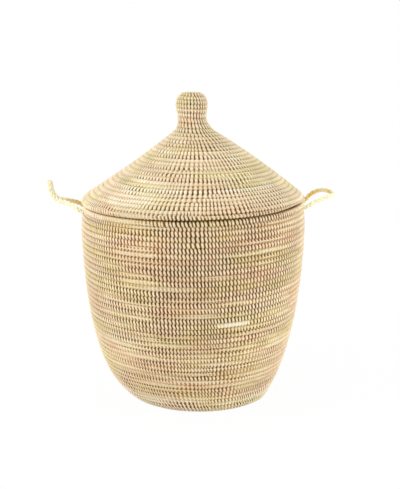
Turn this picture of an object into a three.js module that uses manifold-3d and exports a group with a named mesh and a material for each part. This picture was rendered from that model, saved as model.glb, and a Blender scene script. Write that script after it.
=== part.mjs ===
// Lidded storage basket: a grass coil wound in a rising spiral and stitched row to row,
// a lid coiled the same way with a knob at its top, and two plaited carrying loops.
// Lengths are in millimetres and +Z is up. The origin is the middle of the foot, on the floor,
// and the two loops lie along X.

import * as THREE from "three";
import { mergeVertices } from "three/addons/utils/BufferGeometryUtils.js";
import Module from "manifold-3d";

const wasm = await Module();
wasm.setup();

// The basket's body.
const bodyHeight = 381; // floor to the top of the rim row
const footFlatRadius = 126.4; // the floor disc, before the foot turns up
const footRounding = 14;
const footAngle = THREE.MathUtils.degToRad(45); // the wall's slope as it leaves the foot
const footSweep = 105; // how far the wall keeps that slope
const bellyRadius = 214.6;
const bellyHeight = 335;
const bellySweep = 26; // how far below the belly the wall stands upright
const rimRadius = 210.4;
const rimSweep = 18; // how far above the belly the wall stands upright
const rimUpright = 10; // how far below the rim it stands upright again
const rimRowHeight = 10;
const baseDiscRadius = 122; // where the floor disc ends and the wall's first row begins

// The coil that everything is wound from.
const coilPitch = 10; // from one row to the next
const coilThickness = 9;
const rowDepth = 2.4; // crest of a row to the groove beside it
const coilStartRadius = 9; // the tight curl at the middle of the floor, which lies flat

// The collar that the lid drops over.
const collarClearance = 0.4; // between the collar and the wall's inner face
const collarWidth = 8;
const collarSeatDepth = 1.6; // how far the collar reaches down behind the rim row
const collarRise = 7.5; // how far it stands above the rim
const collarLean = 5; // how far it leans in, to clear the underside of the cone
const collarRows = 1;

// The lid.
const lidSeatGap = 0.3; // lid edge to rim
const lidOverhang = 2.8; // how far the lid's lip stands out past the rim
const lidShoulderHeight = 9.5; // lid edge to the corner where the cone would start
const lidShoulderRounding = 10;
const coneAngle = THREE.MathUtils.degToRad(35.45);
const lidLipRows = 2;
const neckRadius = 27.5;
const neckRounding = 32.3;
const knobRadius = 29.6;
const knobHeight = 47.8; // neck to the top of the knob
const knobTopRadius = 13.6; // the flat curl at the top
const knobTopRounding = 14;
const knobPitch = 8.5;
const knobThickness = 8;

// What hand work leaves: the rows aren't quite level or centred.
const rimTiltRight = THREE.MathUtils.degToRad(0.928); // how much the rim rises towards +X
const rimTiltBack = THREE.MathUtils.degToRad(1.375); // and towards +Y
const tiltHeight = 130; // the height by which most of that tilt has built up
const lidLevelling = 0.6; // the share of the tilt to the right that the lid's lip takes out
const footShift = 12.7; // the foot lies this far towards +X
const footShiftFade = 28;
const coneShift = 8.4; // the middle of the cone bulges this far towards +X
const lidLean = 0.014; // how much the lid leans towards -X as it rises

// The plaited loops.
const handleRootSpacing = 64; // between the two holes of one loop
const handleDrop = 12; // rim to the middle of the holes
const ropeRadius = 4.4;
const strandRadius = 2.5;
const plaitWidth = 2; // how far a strand swings to each side
const plaitRise = 0.9; // how far it lifts over its neighbours
const plaitPitch = 28; // one full swing of a strand
const holeClearance = 0.3;
const knotRadius = 7.5;
const knotDrop = 5; // the knot hangs a little below its hole
const turningGap = 0.8; // between a loop's round end and the wall

// The clearance between pieces that only touch.
const seam = 0.3;

// Each loop's route from its hole to its tip: out from the wall, up, and to each side.
const leftLoopRoute = [
  [8, 5, 31],
  [18, 10, 24],
  [32, 14, 15],
  [47, 18, 10],
  [55, 24.5, 9],
  [60, 32, 8.5],
  [63, 42, 7.5],
];
const leftLoopTip = [65.5, 53];
const leftLoopLean = 0;
const rightLoopRoute = [
  [8, 6.4, 31],
  [17, 13.8, 29.5],
  [29, 18.9, 27],
  [41, 22, 22],
  [50, 22, 14],
];
const rightLoopTip = [57, 20.2];
const rightLoopLean = 4.8; // the far arm is this much higher than the middle, the near one lower

// How finely the curved faces are divided.
const columns = 30;
const knobColumns = 22;
const linesPerRow = 2;
const ropeSides = 8;
const ropeSteps = 42;

const lidRadius = rimRadius + lidOverhang;
const lidBase = bodyHeight + lidSeatGap;
const coneStart = new THREE.Vector2(lidRadius, lidBase + lidShoulderHeight);
const coneRise = (radius) => coneStart.y + (lidRadius - radius) * Math.tan(coneAngle);
// The neck's hollow rounding touches the cone and stands upright at the neck.
const neckCentre = new THREE.Vector2(
  neckRadius + neckRounding,
  coneRise(neckRadius + neckRounding * (1 - Math.sin(coneAngle)))
    + neckRounding * Math.cos(coneAngle),
);

// How far the middle of the coil lies towards +X, at a radius and a height.
function sway(radius, height) {
  if (height <= bodyHeight) {
    const share = Math.min(radius / footFlatRadius, 1);
    return footShift * share ** 2 * Math.exp(-Math.max(height, 0) / footShiftFade);
  }
  const rise = (height - coneStart.y) / (neckCentre.y - coneStart.y);
  const bulge = Math.sin(Math.PI * THREE.MathUtils.clamp(rise, 0, 1));
  return coneShift * bulge - lidLean * (height - bodyHeight);
}

// How much higher a place lies than the middle of its row.
function tiltRise(x, y, height) {
  const levelled = lidLevelling * THREE.MathUtils.smoothstep(height, lidBase, coneStart.y);
  const toRight = x * Math.tan(rimTiltRight) * (1 - levelled);
  const toBack = y * Math.tan(rimTiltBack);
  const builtUp = 1 - Math.exp(-((Math.max(height, 0) / tiltHeight) ** 3));
  return (toRight + toBack) * builtUp;
}

// A row's crest lies on the outline, and the groove between two rows lies below it.
function rowProfile(line) {
  return THREE.MathUtils.euclideanModulo(line, linesPerRow) === 0 ? rowDepth : 0;
}

// The outline that a coiled wall follows, from its lower end to its upper end.
class Outline {
  constructor(path) {
    this.path = path;
    this.length = path.getLength();
  }

  // Radius and height at a length along the outline, moved inward by a depth.
  at(along, depth) {
    const share = THREE.MathUtils.clamp(along / this.length, 0, 1);
    const point = this.path.getPoint(share);
    const way = this.path.getTangent(share);
    return new THREE.Vector2(point.x - depth * way.y, point.y + depth * way.x);
  }

  // The length along the outline where it first reaches a height.
  alongAtHeight(height) {
    let low = 0;
    let high = this.length;
    while (high - low > 1e-4) {
      const middle = (low + high) / 2;
      if (this.at(middle, 0).y < height) low = middle;
      else high = middle;
    }
    return low;
  }

  radiusAtHeight(height) {
    return this.at(this.alongAtHeight(height), 0).x;
  }
}

// Turns lists of corners and triangles into a closed geometry without slivers.
function closedGeometry(corners, triangles) {
  const loose = new THREE.BufferGeometry();
  loose.setAttribute("position", new THREE.Float32BufferAttribute(corners, 3));
  loose.setIndex(triangles);
  const merged = mergeVertices(loose, 1e-3);
  const kept = [];
  for (let i = 0; i < merged.index.count; i += 3) {
    const [a, b, c] = [0, 1, 2].map((k) => merged.index.getX(i + k));
    if (a !== b && b !== c && c !== a) kept.push(a, b, c);
  }
  merged.setIndex(kept);
  merged.computeVertexNormals();
  return merged;
}

// A wall of coiled rows between two places on an outline. Its outer face carries one rib that
// climbs by a row in each turn, as the real coil does, and its inner face is smooth.
function coiledWall(outline, from, to, options = {}) {
  const { pitch = coilPitch, thickness = coilThickness, around = columns } = options;
  const { smoothBefore = -Infinity, innerSteps = 8 } = options;
  const corners = [];
  const triangles = [];

  function addCorner(column, along, depth) {
    const angle = ((column % around) / around) * 2 * Math.PI;
    const { x: radius, y: height } = outline.at(along, depth);
    const x = radius * Math.cos(angle) + sway(radius, height);
    const y = radius * Math.sin(angle);
    corners.push(x, y, height + tiltRise(x, y, height));
    return corners.length / 3 - 1;
  }

  // The rib fades to half its depth over the last half row at each end.
  function ribDepth(line, along) {
    if (along < smoothBefore) return 0;
    const edge = Math.min(along - from, to - along, pitch / 2) / (pitch / 2);
    return THREE.MathUtils.lerp(rowDepth / 2, rowProfile(line), edge);
  }

  function addOuter(line, column) {
    const wanted = (line / linesPerRow - column / around) * pitch;
    const along = THREE.MathUtils.clamp(wanted, from, to);
    return addCorner(column, along, ribDepth(line, along));
  }

  function addQuad(a, b, c, d) {
    triangles.push(a, b, c, a, c, d);
  }

  const firstLine = Math.floor((from / pitch) * linesPerRow);
  const lastLine = Math.ceil((to / pitch) * linesPerRow) + linesPerRow;
  for (let column = 0; column < around; column++) {
    for (let line = firstLine; line < lastLine; line++) {
      const low = addOuter(line, column);
      const lowNext = addOuter(line, column + 1);
      const highNext = addOuter(line + 1, column + 1);
      const high = addOuter(line + 1, column);
      addQuad(low, lowNext, highNext, high);
    }
    for (let step = 0; step < innerSteps; step++) {
      const lowAlong = THREE.MathUtils.lerp(from, to, step / innerSteps);
      const highAlong = THREE.MathUtils.lerp(from, to, (step + 1) / innerSteps);
      const low = addCorner(column, lowAlong, thickness);
      const lowNext = addCorner(column + 1, lowAlong, thickness);
      const highNext = addCorner(column + 1, highAlong, thickness);
      const high = addCorner(column, highAlong, thickness);
      addQuad(low, high, highNext, lowNext);
    }
    const outerLow = [column, column + 1].map((c) => addCorner(c, from, ribDepth(0, from)));
    const innerLow = [column, column + 1].map((c) => addCorner(c, from, thickness));
    addQuad(outerLow[0], innerLow[0], innerLow[1], outerLow[1]);
    const outerHigh = [column, column + 1].map((c) => addCorner(c, to, ribDepth(0, to)));
    const innerHigh = [column, column + 1].map((c) => addCorner(c, to, thickness));
    addQuad(outerHigh[0], outerHigh[1], innerHigh[1], innerHigh[0]);
  }
  return closedGeometry(corners, triangles);
}

// Booleans, for the rope holes and the stopper knots.
function toSolid(geometry) {
  const bare = new THREE.BufferGeometry();
  bare.setAttribute("position", geometry.getAttribute("position"));
  if (geometry.index) bare.setIndex(geometry.index);
  const merged = mergeVertices(bare, 1e-3);
  const vertProperties = new Float32Array(merged.getAttribute("position").array);
  const triVerts = new Uint32Array(merged.index.array);
  return new wasm.Manifold(new wasm.Mesh({ numProp: 3, vertProperties, triVerts }));
}

function toGeometry(solid) {
  const mesh = solid.getMesh();
  const geometry = new THREE.BufferGeometry();
  geometry.setAttribute("position", new THREE.BufferAttribute(mesh.vertProperties, 3));
  geometry.setIndex(new THREE.BufferAttribute(mesh.triVerts, 1));
  geometry.computeVertexNormals();
  return geometry;
}

// The body's outline: out across the floor, round the foot, up to the belly and in to the rim.
const footEnd = new THREE.Vector2(
  footFlatRadius + footRounding * Math.sin(footAngle),
  footRounding * (1 - Math.cos(footAngle)),
);
const bodyPath = new THREE.Path()
  .moveTo(0, 0)
  .lineTo(footFlatRadius, 0)
  .absarc(footFlatRadius, footRounding, footRounding, -Math.PI / 2, footAngle - Math.PI / 2, false)
  .bezierCurveTo(
    footEnd.x + footSweep * Math.cos(footAngle),
    footEnd.y + footSweep * Math.sin(footAngle),
    bellyRadius,
    bellyHeight - bellySweep,
    bellyRadius,
    bellyHeight,
  )
  .bezierCurveTo(
    bellyRadius,
    bellyHeight + rimSweep,
    rimRadius,
    bodyHeight - rimUpright,
    rimRadius,
    bodyHeight,
  );
const bodyOutline = new Outline(bodyPath);

// The lid's outline: up the lip, over the shoulder, up the cone, in at the neck, round the knob.
const shoulderTurn = Math.PI / 2 - coneAngle;
const shoulderReach = lidShoulderRounding * Math.tan(shoulderTurn / 2);
const knobTop = neckCentre.y + knobHeight;
const knobShoulder = knobTop - knobTopRounding;
const lidPath = new THREE.Path()
  .moveTo(lidRadius, lidBase)
  .lineTo(lidRadius, coneStart.y - shoulderReach)
  .absarc(
    lidRadius - lidShoulderRounding,
    coneStart.y - shoulderReach,
    lidShoulderRounding,
    0,
    shoulderTurn,
    false,
  )
  .lineTo(
    neckCentre.x - neckRounding * Math.sin(coneAngle),
    neckCentre.y - neckRounding * Math.cos(coneAngle),
  )
  .absarc(
    neckCentre.x,
    neckCentre.y,
    neckRounding,
    -Math.PI / 2 - coneAngle,
    -Math.PI,
    true,
  )
  .bezierCurveTo(
    neckRadius,
    neckCentre.y + knobHeight * 0.2,
    knobRadius,
    knobShoulder - knobHeight * 0.45,
    knobRadius,
    knobShoulder - knobHeight * 0.15,
  )
  .bezierCurveTo(
    knobRadius,
    knobShoulder + knobTopRounding * 0.35,
    knobTopRadius + knobTopRounding * 0.5,
    knobTop,
    knobTopRadius,
    knobTop,
  )
  .lineTo(0, knobTop);
const lidOutline = new Outline(lidPath);

// The floor disc, which starts from a tight curl that lies flat.
function makeBaseCoil() {
  return coiledWall(bodyOutline, 0, baseDiscRadius, {
    smoothBefore: coilStartRadius,
    innerSteps: 2,
  });
}

// One hole of each loop: its middle on the wall's outer face, and the way out of the wall.
const holeHeight = bodyHeight - handleDrop;
const wallRadiusAtHole = bodyOutline.radiusAtHeight(holeHeight);
const holeReach = Math.sqrt(wallRadiusAtHole ** 2 - (handleRootSpacing / 2) ** 2);
const holes = [-1, 1].flatMap((side) =>
  [-1, 1].map((end) => ({ side, end, y: (end * handleRootSpacing) / 2 })),
);
const pivotReach = holeReach + turningGap + ropeRadius;

// The holes follow the tilt of the rows, so one loop's pair is higher than the other's.
function holeLevel(side) {
  return holeHeight + tiltRise(side * holeReach, 0, holeHeight);
}

function rodAlongX(radius, fromX, toX, y, z, sides) {
  const rod = new THREE.CylinderGeometry(radius, radius, Math.abs(toX - fromX), sides);
  rod.rotateZ(Math.PI / 2);
  rod.translate((fromX + toX) / 2, y, z);
  return toSolid(rod);
}

// Cuts the four rope holes, which pass between the rim row and the row below it.
function withRopeHoles(geometry) {
  let solid = toSolid(geometry);
  for (const { side, y } of holes) {
    const inner = side * (holeReach - 3 * coilThickness);
    const outer = side * (holeReach + coilThickness);
    const radius = ropeRadius + holeClearance;
    solid = solid.subtract(rodAlongX(radius, inner, outer, y, holeLevel(side), 10));
  }
  return toGeometry(solid);
}

const rimStart = bodyOutline.alongAtHeight(bodyHeight - rimRowHeight);

function makeWallCoil() {
  const wall = coiledWall(bodyOutline, baseDiscRadius + seam, rimStart, { innerSteps: 10 });
  return withRopeHoles(wall);
}

function makeRimCoil() {
  const rim = coiledWall(bodyOutline, rimStart + seam, bodyOutline.length, { innerSteps: 1 });
  return withRopeHoles(rim);
}

// The collar is stitched inside the rim and stands above it, so the lid can't slide off.
function makeCollarCoil() {
  const innerFace = bodyOutline.at(bodyOutline.length, coilThickness).x;
  // Its rib has faded to half its depth at the seat, which is where the two come nearest.
  const outer = innerFace - collarClearance + rowDepth / 2;
  const bottom = bodyHeight - collarSeatDepth;
  const top = bodyHeight + collarRise;
  const path = new THREE.Path().moveTo(outer, bottom).lineTo(outer - collarLean, top);
  const outline = new Outline(path);
  return coiledWall(outline, 0, outline.length, {
    pitch: outline.length / collarRows,
    thickness: collarWidth,
    innerSteps: 1,
  });
}

const lipEnd = lidLipRows * coilPitch;
// The cone ends and the knob begins where the neck is narrowest.
const neckAlong = lidOutline.alongAtHeight(neckCentre.y);

function makeLidLipCoil() {
  return coiledWall(lidOutline, 0, lipEnd, { innerSteps: 6 });
}

function makeLidConeCoil() {
  return coiledWall(lidOutline, lipEnd + seam, neckAlong, { innerSteps: 8 });
}

function makeKnobCoil() {
  return coiledWall(lidOutline, neckAlong + seam, lidOutline.length, {
    pitch: knobPitch,
    thickness: knobThickness,
    around: knobColumns,
    innerSteps: 5,
  });
}

// How far a three-strand plait reaches from its middle line in one direction.
function plaitReach(angle, along) {
  const aim = new THREE.Vector2(Math.cos(angle), Math.sin(angle));
  let reach = 0;
  for (let strand = 0; strand < 3; strand++) {
    const phase = (along / plaitPitch) * 2 * Math.PI + (strand * 2 * Math.PI) / 3;
    const middle = new THREE.Vector2(
      plaitWidth * Math.sin(phase),
      plaitRise * Math.sin(2 * phase),
    );
    const forward = middle.dot(aim);
    const aside = middle.lengthSq() - forward ** 2;
    const half = Math.sqrt(Math.max(strandRadius ** 2 - aside, 0));
    reach = Math.max(reach, forward + half);
  }
  return Math.min(reach, ropeRadius);
}

// A loop's middle line, from the near hole round the tip to the far hole.
function loopCurve(side, route, tip, lean) {
  const halfRoot = handleRootSpacing / 2;
  const arm = [[0, 0, halfRoot], ...route];
  const place = ([out, up, aside], end) => {
    const rise = end * lean * Math.sin((Math.PI * out) / tip[0]);
    const x = side * (pivotReach + out);
    return new THREE.Vector3(x, end * aside, holeLevel(side) + up + rise);
  };
  const near = arm.map((station) => place(station, -1));
  const far = arm.map((station) => place(station, 1)).reverse();
  return new THREE.CatmullRomCurve3([...near, place([...tip, 0], 1), ...far]);
}

// A plaited loop with round ends, which turn against the wall without touching it.
function makeLoop(side, route, tip, lean) {
  const curve = loopCurve(side, route, tip, lean);
  const length = curve.getLength();
  const frames = curve.computeFrenetFrames(ropeSteps, false);
  const corners = [];
  const triangles = [];
  const rings = [];

  // A ring round the middle line, moved along it by an offset. The whipped ends are round.
  function addRing(step, offset, endRadius) {
    const middle = curve.getPointAt(step / ropeSteps).addScaledVector(frames.tangents[step], offset);
    const along = (step / ropeSteps) * length;
    const ring = [];
    for (let k = 0; k < ropeSides; k++) {
      const angle = (k / ropeSides) * 2 * Math.PI;
      const reach = endRadius ?? plaitReach(angle, along);
      const corner = middle.clone()
        .addScaledVector(frames.normals[step], reach * Math.cos(angle))
        .addScaledVector(frames.binormals[step], reach * Math.sin(angle));
      corners.push(corner.x, corner.y, corner.z);
      ring.push(corners.length / 3 - 1);
    }
    rings.push(ring);
  }

  function addRoundEnd(step, way) {
    const turns = way < 0 ? [0, 30, 60] : [60, 30, 0];
    for (const lean of turns.map(THREE.MathUtils.degToRad)) {
      addRing(step, way * ropeRadius * Math.cos(lean), ropeRadius * Math.sin(lean));
    }
  }

  addRoundEnd(0, -1);
  addRing(0, 0, ropeRadius);
  for (let step = 1; step < ropeSteps; step++) addRing(step, 0);
  addRing(ropeSteps, 0, ropeRadius);
  addRoundEnd(ropeSteps, 1);
  for (let i = 0; i + 1 < rings.length; i++) {
    for (let k = 0; k < ropeSides; k++) {
      const next = (k + 1) % ropeSides;
      const [a, b, c, d] = [rings[i][k], rings[i][next], rings[i + 1][next], rings[i + 1][k]];
      triangles.push(a, b, c, a, c, d);
    }
  }
  return closedGeometry(corners, triangles);
}

// The rope's end passes through the wall to a stopper knot that hangs inside.
function makeKnot({ side, y }) {
  const knotHeight = holeHeight - knotDrop;
  const innerFaces = [knotHeight - knotRadius, knotHeight + knotRadius].map(
    (height) => bodyOutline.at(bodyOutline.alongAtHeight(height), coilThickness).x,
  );
  // The faceted wall comes nearest at the middle of a facet.
  const room = Math.min(...innerFaces) * Math.cos(Math.PI / columns) - seam - knotRadius;
  const knotX = side * Math.sqrt(room ** 2 - y ** 2);
  const stubEnd = side * (pivotReach - ropeRadius - seam);
  const ball = new THREE.SphereGeometry(knotRadius, 10, 7);
  ball.scale(1, 1.15, 1);
  ball.translate(knotX, y, holeLevel(side) - knotDrop);
  const stub = rodAlongX(ropeRadius, knotX, stubEnd, y, holeLevel(side), 8);
  return toGeometry(toSolid(ball).add(stub));
}

const straw = { color: 0xd9c19a, roughness: 0.55, metalness: 0 };
const paleStraw = { color: 0xe8d5ae, roughness: 0.5, metalness: 0 };
const plaitedStraw = { color: 0xeee3a6, roughness: 0.6, metalness: 0 };

function addPiece(group, name, geometry, finish) {
  const mesh = new THREE.Mesh(geometry, new THREE.MeshStandardMaterial(finish));
  mesh.name = name;
  group.add(mesh);
  return mesh;
}

const basket = new THREE.Group();

const body = new THREE.Group();
addPiece(body, "base_coil", makeBaseCoil(), straw);
addPiece(body, "wall_coil", makeWallCoil(), straw);
addPiece(body, "rim_coil", makeRimCoil(), paleStraw);
addPiece(body, "collar_coil", makeCollarCoil(), straw);
for (const hole of holes) {
  const name = `${hole.side < 0 ? "left" : "right"}_${hole.end < 0 ? "front" : "back"}_knot`;
  addPiece(body, name, makeKnot(hole), plaitedStraw);
}
basket.add(body);

const lid = new THREE.Group();
addPiece(lid, "lid_lip_coil", makeLidLipCoil(), straw);
addPiece(lid, "lid_cone_coil", makeLidConeCoil(), straw);
addPiece(lid, "knob_coil", makeKnobCoil(), straw);
basket.add(lid);

const leftLoop = makeLoop(-1, leftLoopRoute, leftLoopTip, leftLoopLean);
addPiece(basket, "left_handle_loop", leftLoop, plaitedStraw);
const rightLoop = makeLoop(1, rightLoopRoute, rightLoopTip, rightLoopLean);
addPiece(basket, "right_handle_loop", rightLoop, plaitedStraw);

for (const side of [-1, 1]) {
  console.log("hinge at", (side * pivotReach).toFixed(2), holeLevel(side).toFixed(2));
}

export default basket;
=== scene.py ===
"""Dress a lidded storage basket: coiled grass rows, strip stitches and two plaited loops.

The coil is made in its own three measures: the angle round the basket, the length along the
outline of its wall, and the depth below the wall's outer face. Sizes are in millimetres and
become metres where a mesh is written. An Array holds one value or place for each thing.
"""

import logging
import math
from dataclasses import dataclass, field, replace
from enum import Enum
from typing import Callable, NamedTuple, Sequence

import bpy
import numpy as np
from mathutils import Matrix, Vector


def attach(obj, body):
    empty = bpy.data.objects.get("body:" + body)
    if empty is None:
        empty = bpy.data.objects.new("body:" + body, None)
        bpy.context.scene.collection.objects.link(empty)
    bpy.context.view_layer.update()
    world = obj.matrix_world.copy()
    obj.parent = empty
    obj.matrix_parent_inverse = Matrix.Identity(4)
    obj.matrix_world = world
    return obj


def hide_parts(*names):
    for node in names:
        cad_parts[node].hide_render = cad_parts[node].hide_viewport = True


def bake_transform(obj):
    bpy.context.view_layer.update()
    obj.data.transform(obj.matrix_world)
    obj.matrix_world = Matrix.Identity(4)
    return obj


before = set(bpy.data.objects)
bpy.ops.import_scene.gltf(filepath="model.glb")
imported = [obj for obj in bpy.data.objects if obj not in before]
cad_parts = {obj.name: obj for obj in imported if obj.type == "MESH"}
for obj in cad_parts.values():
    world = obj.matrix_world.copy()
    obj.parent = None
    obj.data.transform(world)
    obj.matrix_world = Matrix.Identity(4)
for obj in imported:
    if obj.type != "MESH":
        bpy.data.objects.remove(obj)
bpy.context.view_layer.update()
MM = 0.001
TURN = 2 * math.pi
# A row's section is a little fuller than an ellipse, whose power is 1.
SECTION_POWER = 0.88

logging.basicConfig(level=logging.INFO, format="%(message)s")
log = logging.getLogger("basket")

Array = np.ndarray
Places = Sequence[Sequence[float]]
Stops = Sequence[tuple[float, str]]
Material = bpy.types.Material
Node = bpy.types.Node
Piece = bpy.types.Object
Socket = bpy.types.NodeSocket
Tree = bpy.types.NodeTree


class Slot(Enum):
    """The record's material slots."""

    STITCHED = "stitched_coil"
    RIM = "rim_straw"
    PLAITED = "plaited_straw"


class Body(Enum):
    """The bodies that pieces ride on."""

    BASKET = "basket"
    LID = "lid"
    LEFT_HANDLE = "left_handle"
    RIGHT_HANDLE = "right_handle"


# Outlines


def arc_points(centre: Sequence[float], radius: float, start: float, end: float) -> Array:
    """Return forty points on an arc, radius first and height second, between two angles."""
    angle = np.linspace(start, end, 40)
    return np.stack([centre[0] + radius * np.cos(angle), centre[1] + radius * np.sin(angle)], 1)


def bezier_points(*corners: Sequence[float]) -> Array:
    """Return points on a cubic curve.

    Args:
        corners: the four corners of its frame, radius first and height second.

    Returns:
        Two hundred points, one a row.
    """
    share = np.linspace(0, 1, 200)[:, None]
    rest = 1 - share
    weights = (rest**3, 3 * rest**2 * share, 3 * rest * share**2, share**3)
    return sum(weight * np.array(corner) for weight, corner in zip(weights, corners))


def lengths_along(points: Array) -> Array:
    """Return the length walked from the first point to each point, one a row."""
    return np.concatenate([[0.0], np.cumsum(np.linalg.norm(np.diff(points, axis=0), axis=1))])


class Outline:
    """A wall's outer face in section, walked from its lower end to its upper end."""

    # Faces would collapse to a point at a pole, where the outline meets the middle line.
    pole_gap = 0.3

    def __init__(self, *stretches: Array) -> None:
        """Join stretches of points.

        Args:
            stretches: the points of each stretch, radius first and height second.
        """
        points = np.concatenate(stretches)
        # Where two stretches share a point, one of the two goes.
        points = points[np.diff(lengths_along(points), prepend=-1) > 1e-6]
        self.along = lengths_along(points)
        self.length = float(self.along[-1])
        self.radius, self.height = points.T
        way = np.gradient(points, self.along, axis=0)
        self.way = way / np.linalg.norm(way, axis=1)[:, None]
        at_pole = self.radius < self.pole_gap
        self.low = self.pole_gap if at_pole[0] else -math.inf
        self.high = self.length - self.pole_gap if at_pole[-1] else math.inf

    def at(self, along: Array, depth: Array) -> tuple[Array, Array]:
        """Return the radius and height of places on or below the outer face.

        Args:
            along: lengths along the outline.
            depth: how far below the outer face each place lies.

        Returns:
            The radii and the heights.
        """
        along = np.clip(along, self.low, self.high)
        known = (self.radius, self.height, *self.way.T)
        radius, height, out, up = (np.interp(along, self.along, values) for values in known)
        return radius - depth * up, height + depth * out

    def along_at_height(self, height: float) -> float:
        """Return the length along the outline where it first reaches a height."""
        return float(self.along[int(np.argmax(self.height >= height))])


@dataclass(frozen=True)
class HandWork:
    """The shape of the basket and what hand work left uneven, as the solids have it."""

    body_height: float = 381.0
    foot_flat_radius: float = 126.4
    foot_rounding: float = 14.0
    foot_angle: float = math.radians(45)
    foot_sweep: float = 105.0
    belly_radius: float = 214.6
    belly_height: float = 335.0
    belly_sweep: float = 26.0
    rim_radius: float = 210.4
    rim_sweep: float = 18.0
    rim_upright: float = 10.0
    rim_row_height: float = 10.0
    base_disc_radius: float = 122.0
    coil_pitch: float = 10.0
    coil_thickness: float = 9.0
    collar_clearance: float = 0.4
    collar_seat_depth: float = 1.6
    collar_rise: float = 7.5
    collar_lean: float = 5.0
    row_depth: float = 2.4
    lid_seat_gap: float = 0.3
    lid_overhang: float = 2.8
    lid_shoulder_height: float = 9.5
    lid_shoulder_rounding: float = 10.0
    cone_angle: float = math.radians(35.45)
    neck_radius: float = 27.5
    neck_rounding: float = 32.3
    knob_radius: float = 30.3
    knob_height: float = 47.8
    knob_top_radius: float = 13.6
    knob_top_rounding: float = 14.0
    knob_pitch: float = 8.5
    # Shares of the knob's height: its widest place below its shoulder, and its curve's corners.
    knob_widest: float = 0.15
    knob_swell: float = 0.45
    neck_upright: float = 0.2
    # Shares of the top rounding, to the corners of the curve over the knob's shoulder.
    shoulder_up: float = 0.35
    shoulder_in: float = 0.5
    rim_tilt_right: float = math.tan(math.radians(0.928))
    rim_tilt_back: float = math.tan(math.radians(1.375))
    tilt_height: float = 130.0
    lid_levelling: float = 0.6
    foot_shift: float = 12.7
    foot_shift_fade: float = 28.0
    cone_shift: float = 8.4
    lid_lean: float = 0.014

    @property
    def lid_radius(self) -> float:
        """The outer radius of the lid's lip."""
        return self.rim_radius + self.lid_overhang

    @property
    def lid_base(self) -> float:
        """The height of the lid's lower edge."""
        return self.body_height + self.lid_seat_gap

    @property
    def cone_start(self) -> float:
        """The height at which the lid's lip and cone would meet."""
        return self.lid_base + self.lid_shoulder_height

    @property
    def neck_centre(self) -> tuple[float, float]:
        """The centre of the neck's hollow rounding.

        Returns:
            Its radius and its height.
        """
        radius = self.neck_radius + self.neck_rounding
        touch = radius - self.neck_rounding * math.sin(self.cone_angle)
        rise = (self.lid_radius - touch) * math.tan(self.cone_angle)
        return radius, self.cone_start + rise + self.neck_rounding * math.cos(self.cone_angle)

    def body_outline(self) -> Outline:
        """Walk up the body.

        Returns:
            The outline from the middle of the floor to the rim.
        """
        slope = np.array([math.cos(self.foot_angle), math.sin(self.foot_angle)])
        foot_end = (
            self.foot_flat_radius + self.foot_rounding * slope[1],
            self.foot_rounding * (1 - slope[0]),
        )
        belly = (self.belly_radius, self.belly_height)
        rim = (self.rim_radius, self.body_height)
        return Outline(
            np.linspace((0, 0), (self.foot_flat_radius, 0), 40),
            arc_points(
                (self.foot_flat_radius, self.foot_rounding),
                self.foot_rounding,
                -math.pi / 2,
                self.foot_angle - math.pi / 2,
            ),
            bezier_points(
                foot_end,
                foot_end + self.foot_sweep * slope,
                (belly[0], belly[1] - self.belly_sweep),
                belly,
            ),
            bezier_points(
                belly, (belly[0], belly[1] + self.rim_sweep), (rim[0], rim[1] - self.rim_upright), rim
            ),
        )

    def lid_outline(self) -> tuple[Outline, float]:
        """Walk up the lid.

        Returns:
            The outline from the lid's edge to the knob's top, and the length to the neck.
        """
        turn = math.pi / 2 - self.cone_angle
        reach = self.lid_shoulder_rounding * math.tan(turn / 2)
        lip_top = (self.lid_radius, self.cone_start - reach)
        neck_x, neck_z = self.neck_centre
        cone_end = (
            neck_x - self.neck_rounding * math.sin(self.cone_angle),
            neck_z - self.neck_rounding * math.cos(self.cone_angle),
        )
        shoulder_centre = (self.lid_radius - self.lid_shoulder_rounding, lip_top[1])
        shoulder = arc_points(shoulder_centre, self.lid_shoulder_rounding, 0, turn)
        neck_turn = 1.5 * math.pi - self.cone_angle
        lower = (
            np.linspace((self.lid_radius, self.lid_base), lip_top, 40),
            shoulder,
            np.linspace(shoulder[-1], cone_end, 40),
            arc_points((neck_x, neck_z), self.neck_rounding, neck_turn, math.pi),
        )
        top = neck_z + self.knob_height
        knob_shoulder = top - self.knob_top_rounding
        widest = (self.knob_radius, knob_shoulder - self.knob_widest * self.knob_height)
        flat = (self.knob_top_radius, top)
        upper = (
            bezier_points(
                (self.neck_radius, neck_z),
                (self.neck_radius, neck_z + self.neck_upright * self.knob_height),
                (self.knob_radius, knob_shoulder - self.knob_swell * self.knob_height),
                widest,
            ),
            bezier_points(
                widest,
                (self.knob_radius, knob_shoulder + self.shoulder_up * self.knob_top_rounding),
                (flat[0] + self.shoulder_in * self.knob_top_rounding, top),
                flat,
            ),
            np.linspace(flat, (0, top), 40),
        )
        return Outline(*lower, *upper), Outline(*lower).length

    def collar_outline(self) -> Outline:
        """Walk up the collar, which stands inside the rim.

        Returns:
            The outline of its outer face.
        """
        body = self.body_outline()
        inner, _ = body.at(np.array([body.length]), np.array([self.coil_thickness]))
        radius = float(inner[0]) - self.collar_clearance + self.row_depth / 2
        bottom = (radius, self.body_height - self.collar_seat_depth)
        top = (radius - self.collar_lean, self.body_height + self.collar_rise)
        return Outline(np.linspace(bottom, top, 40))

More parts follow.
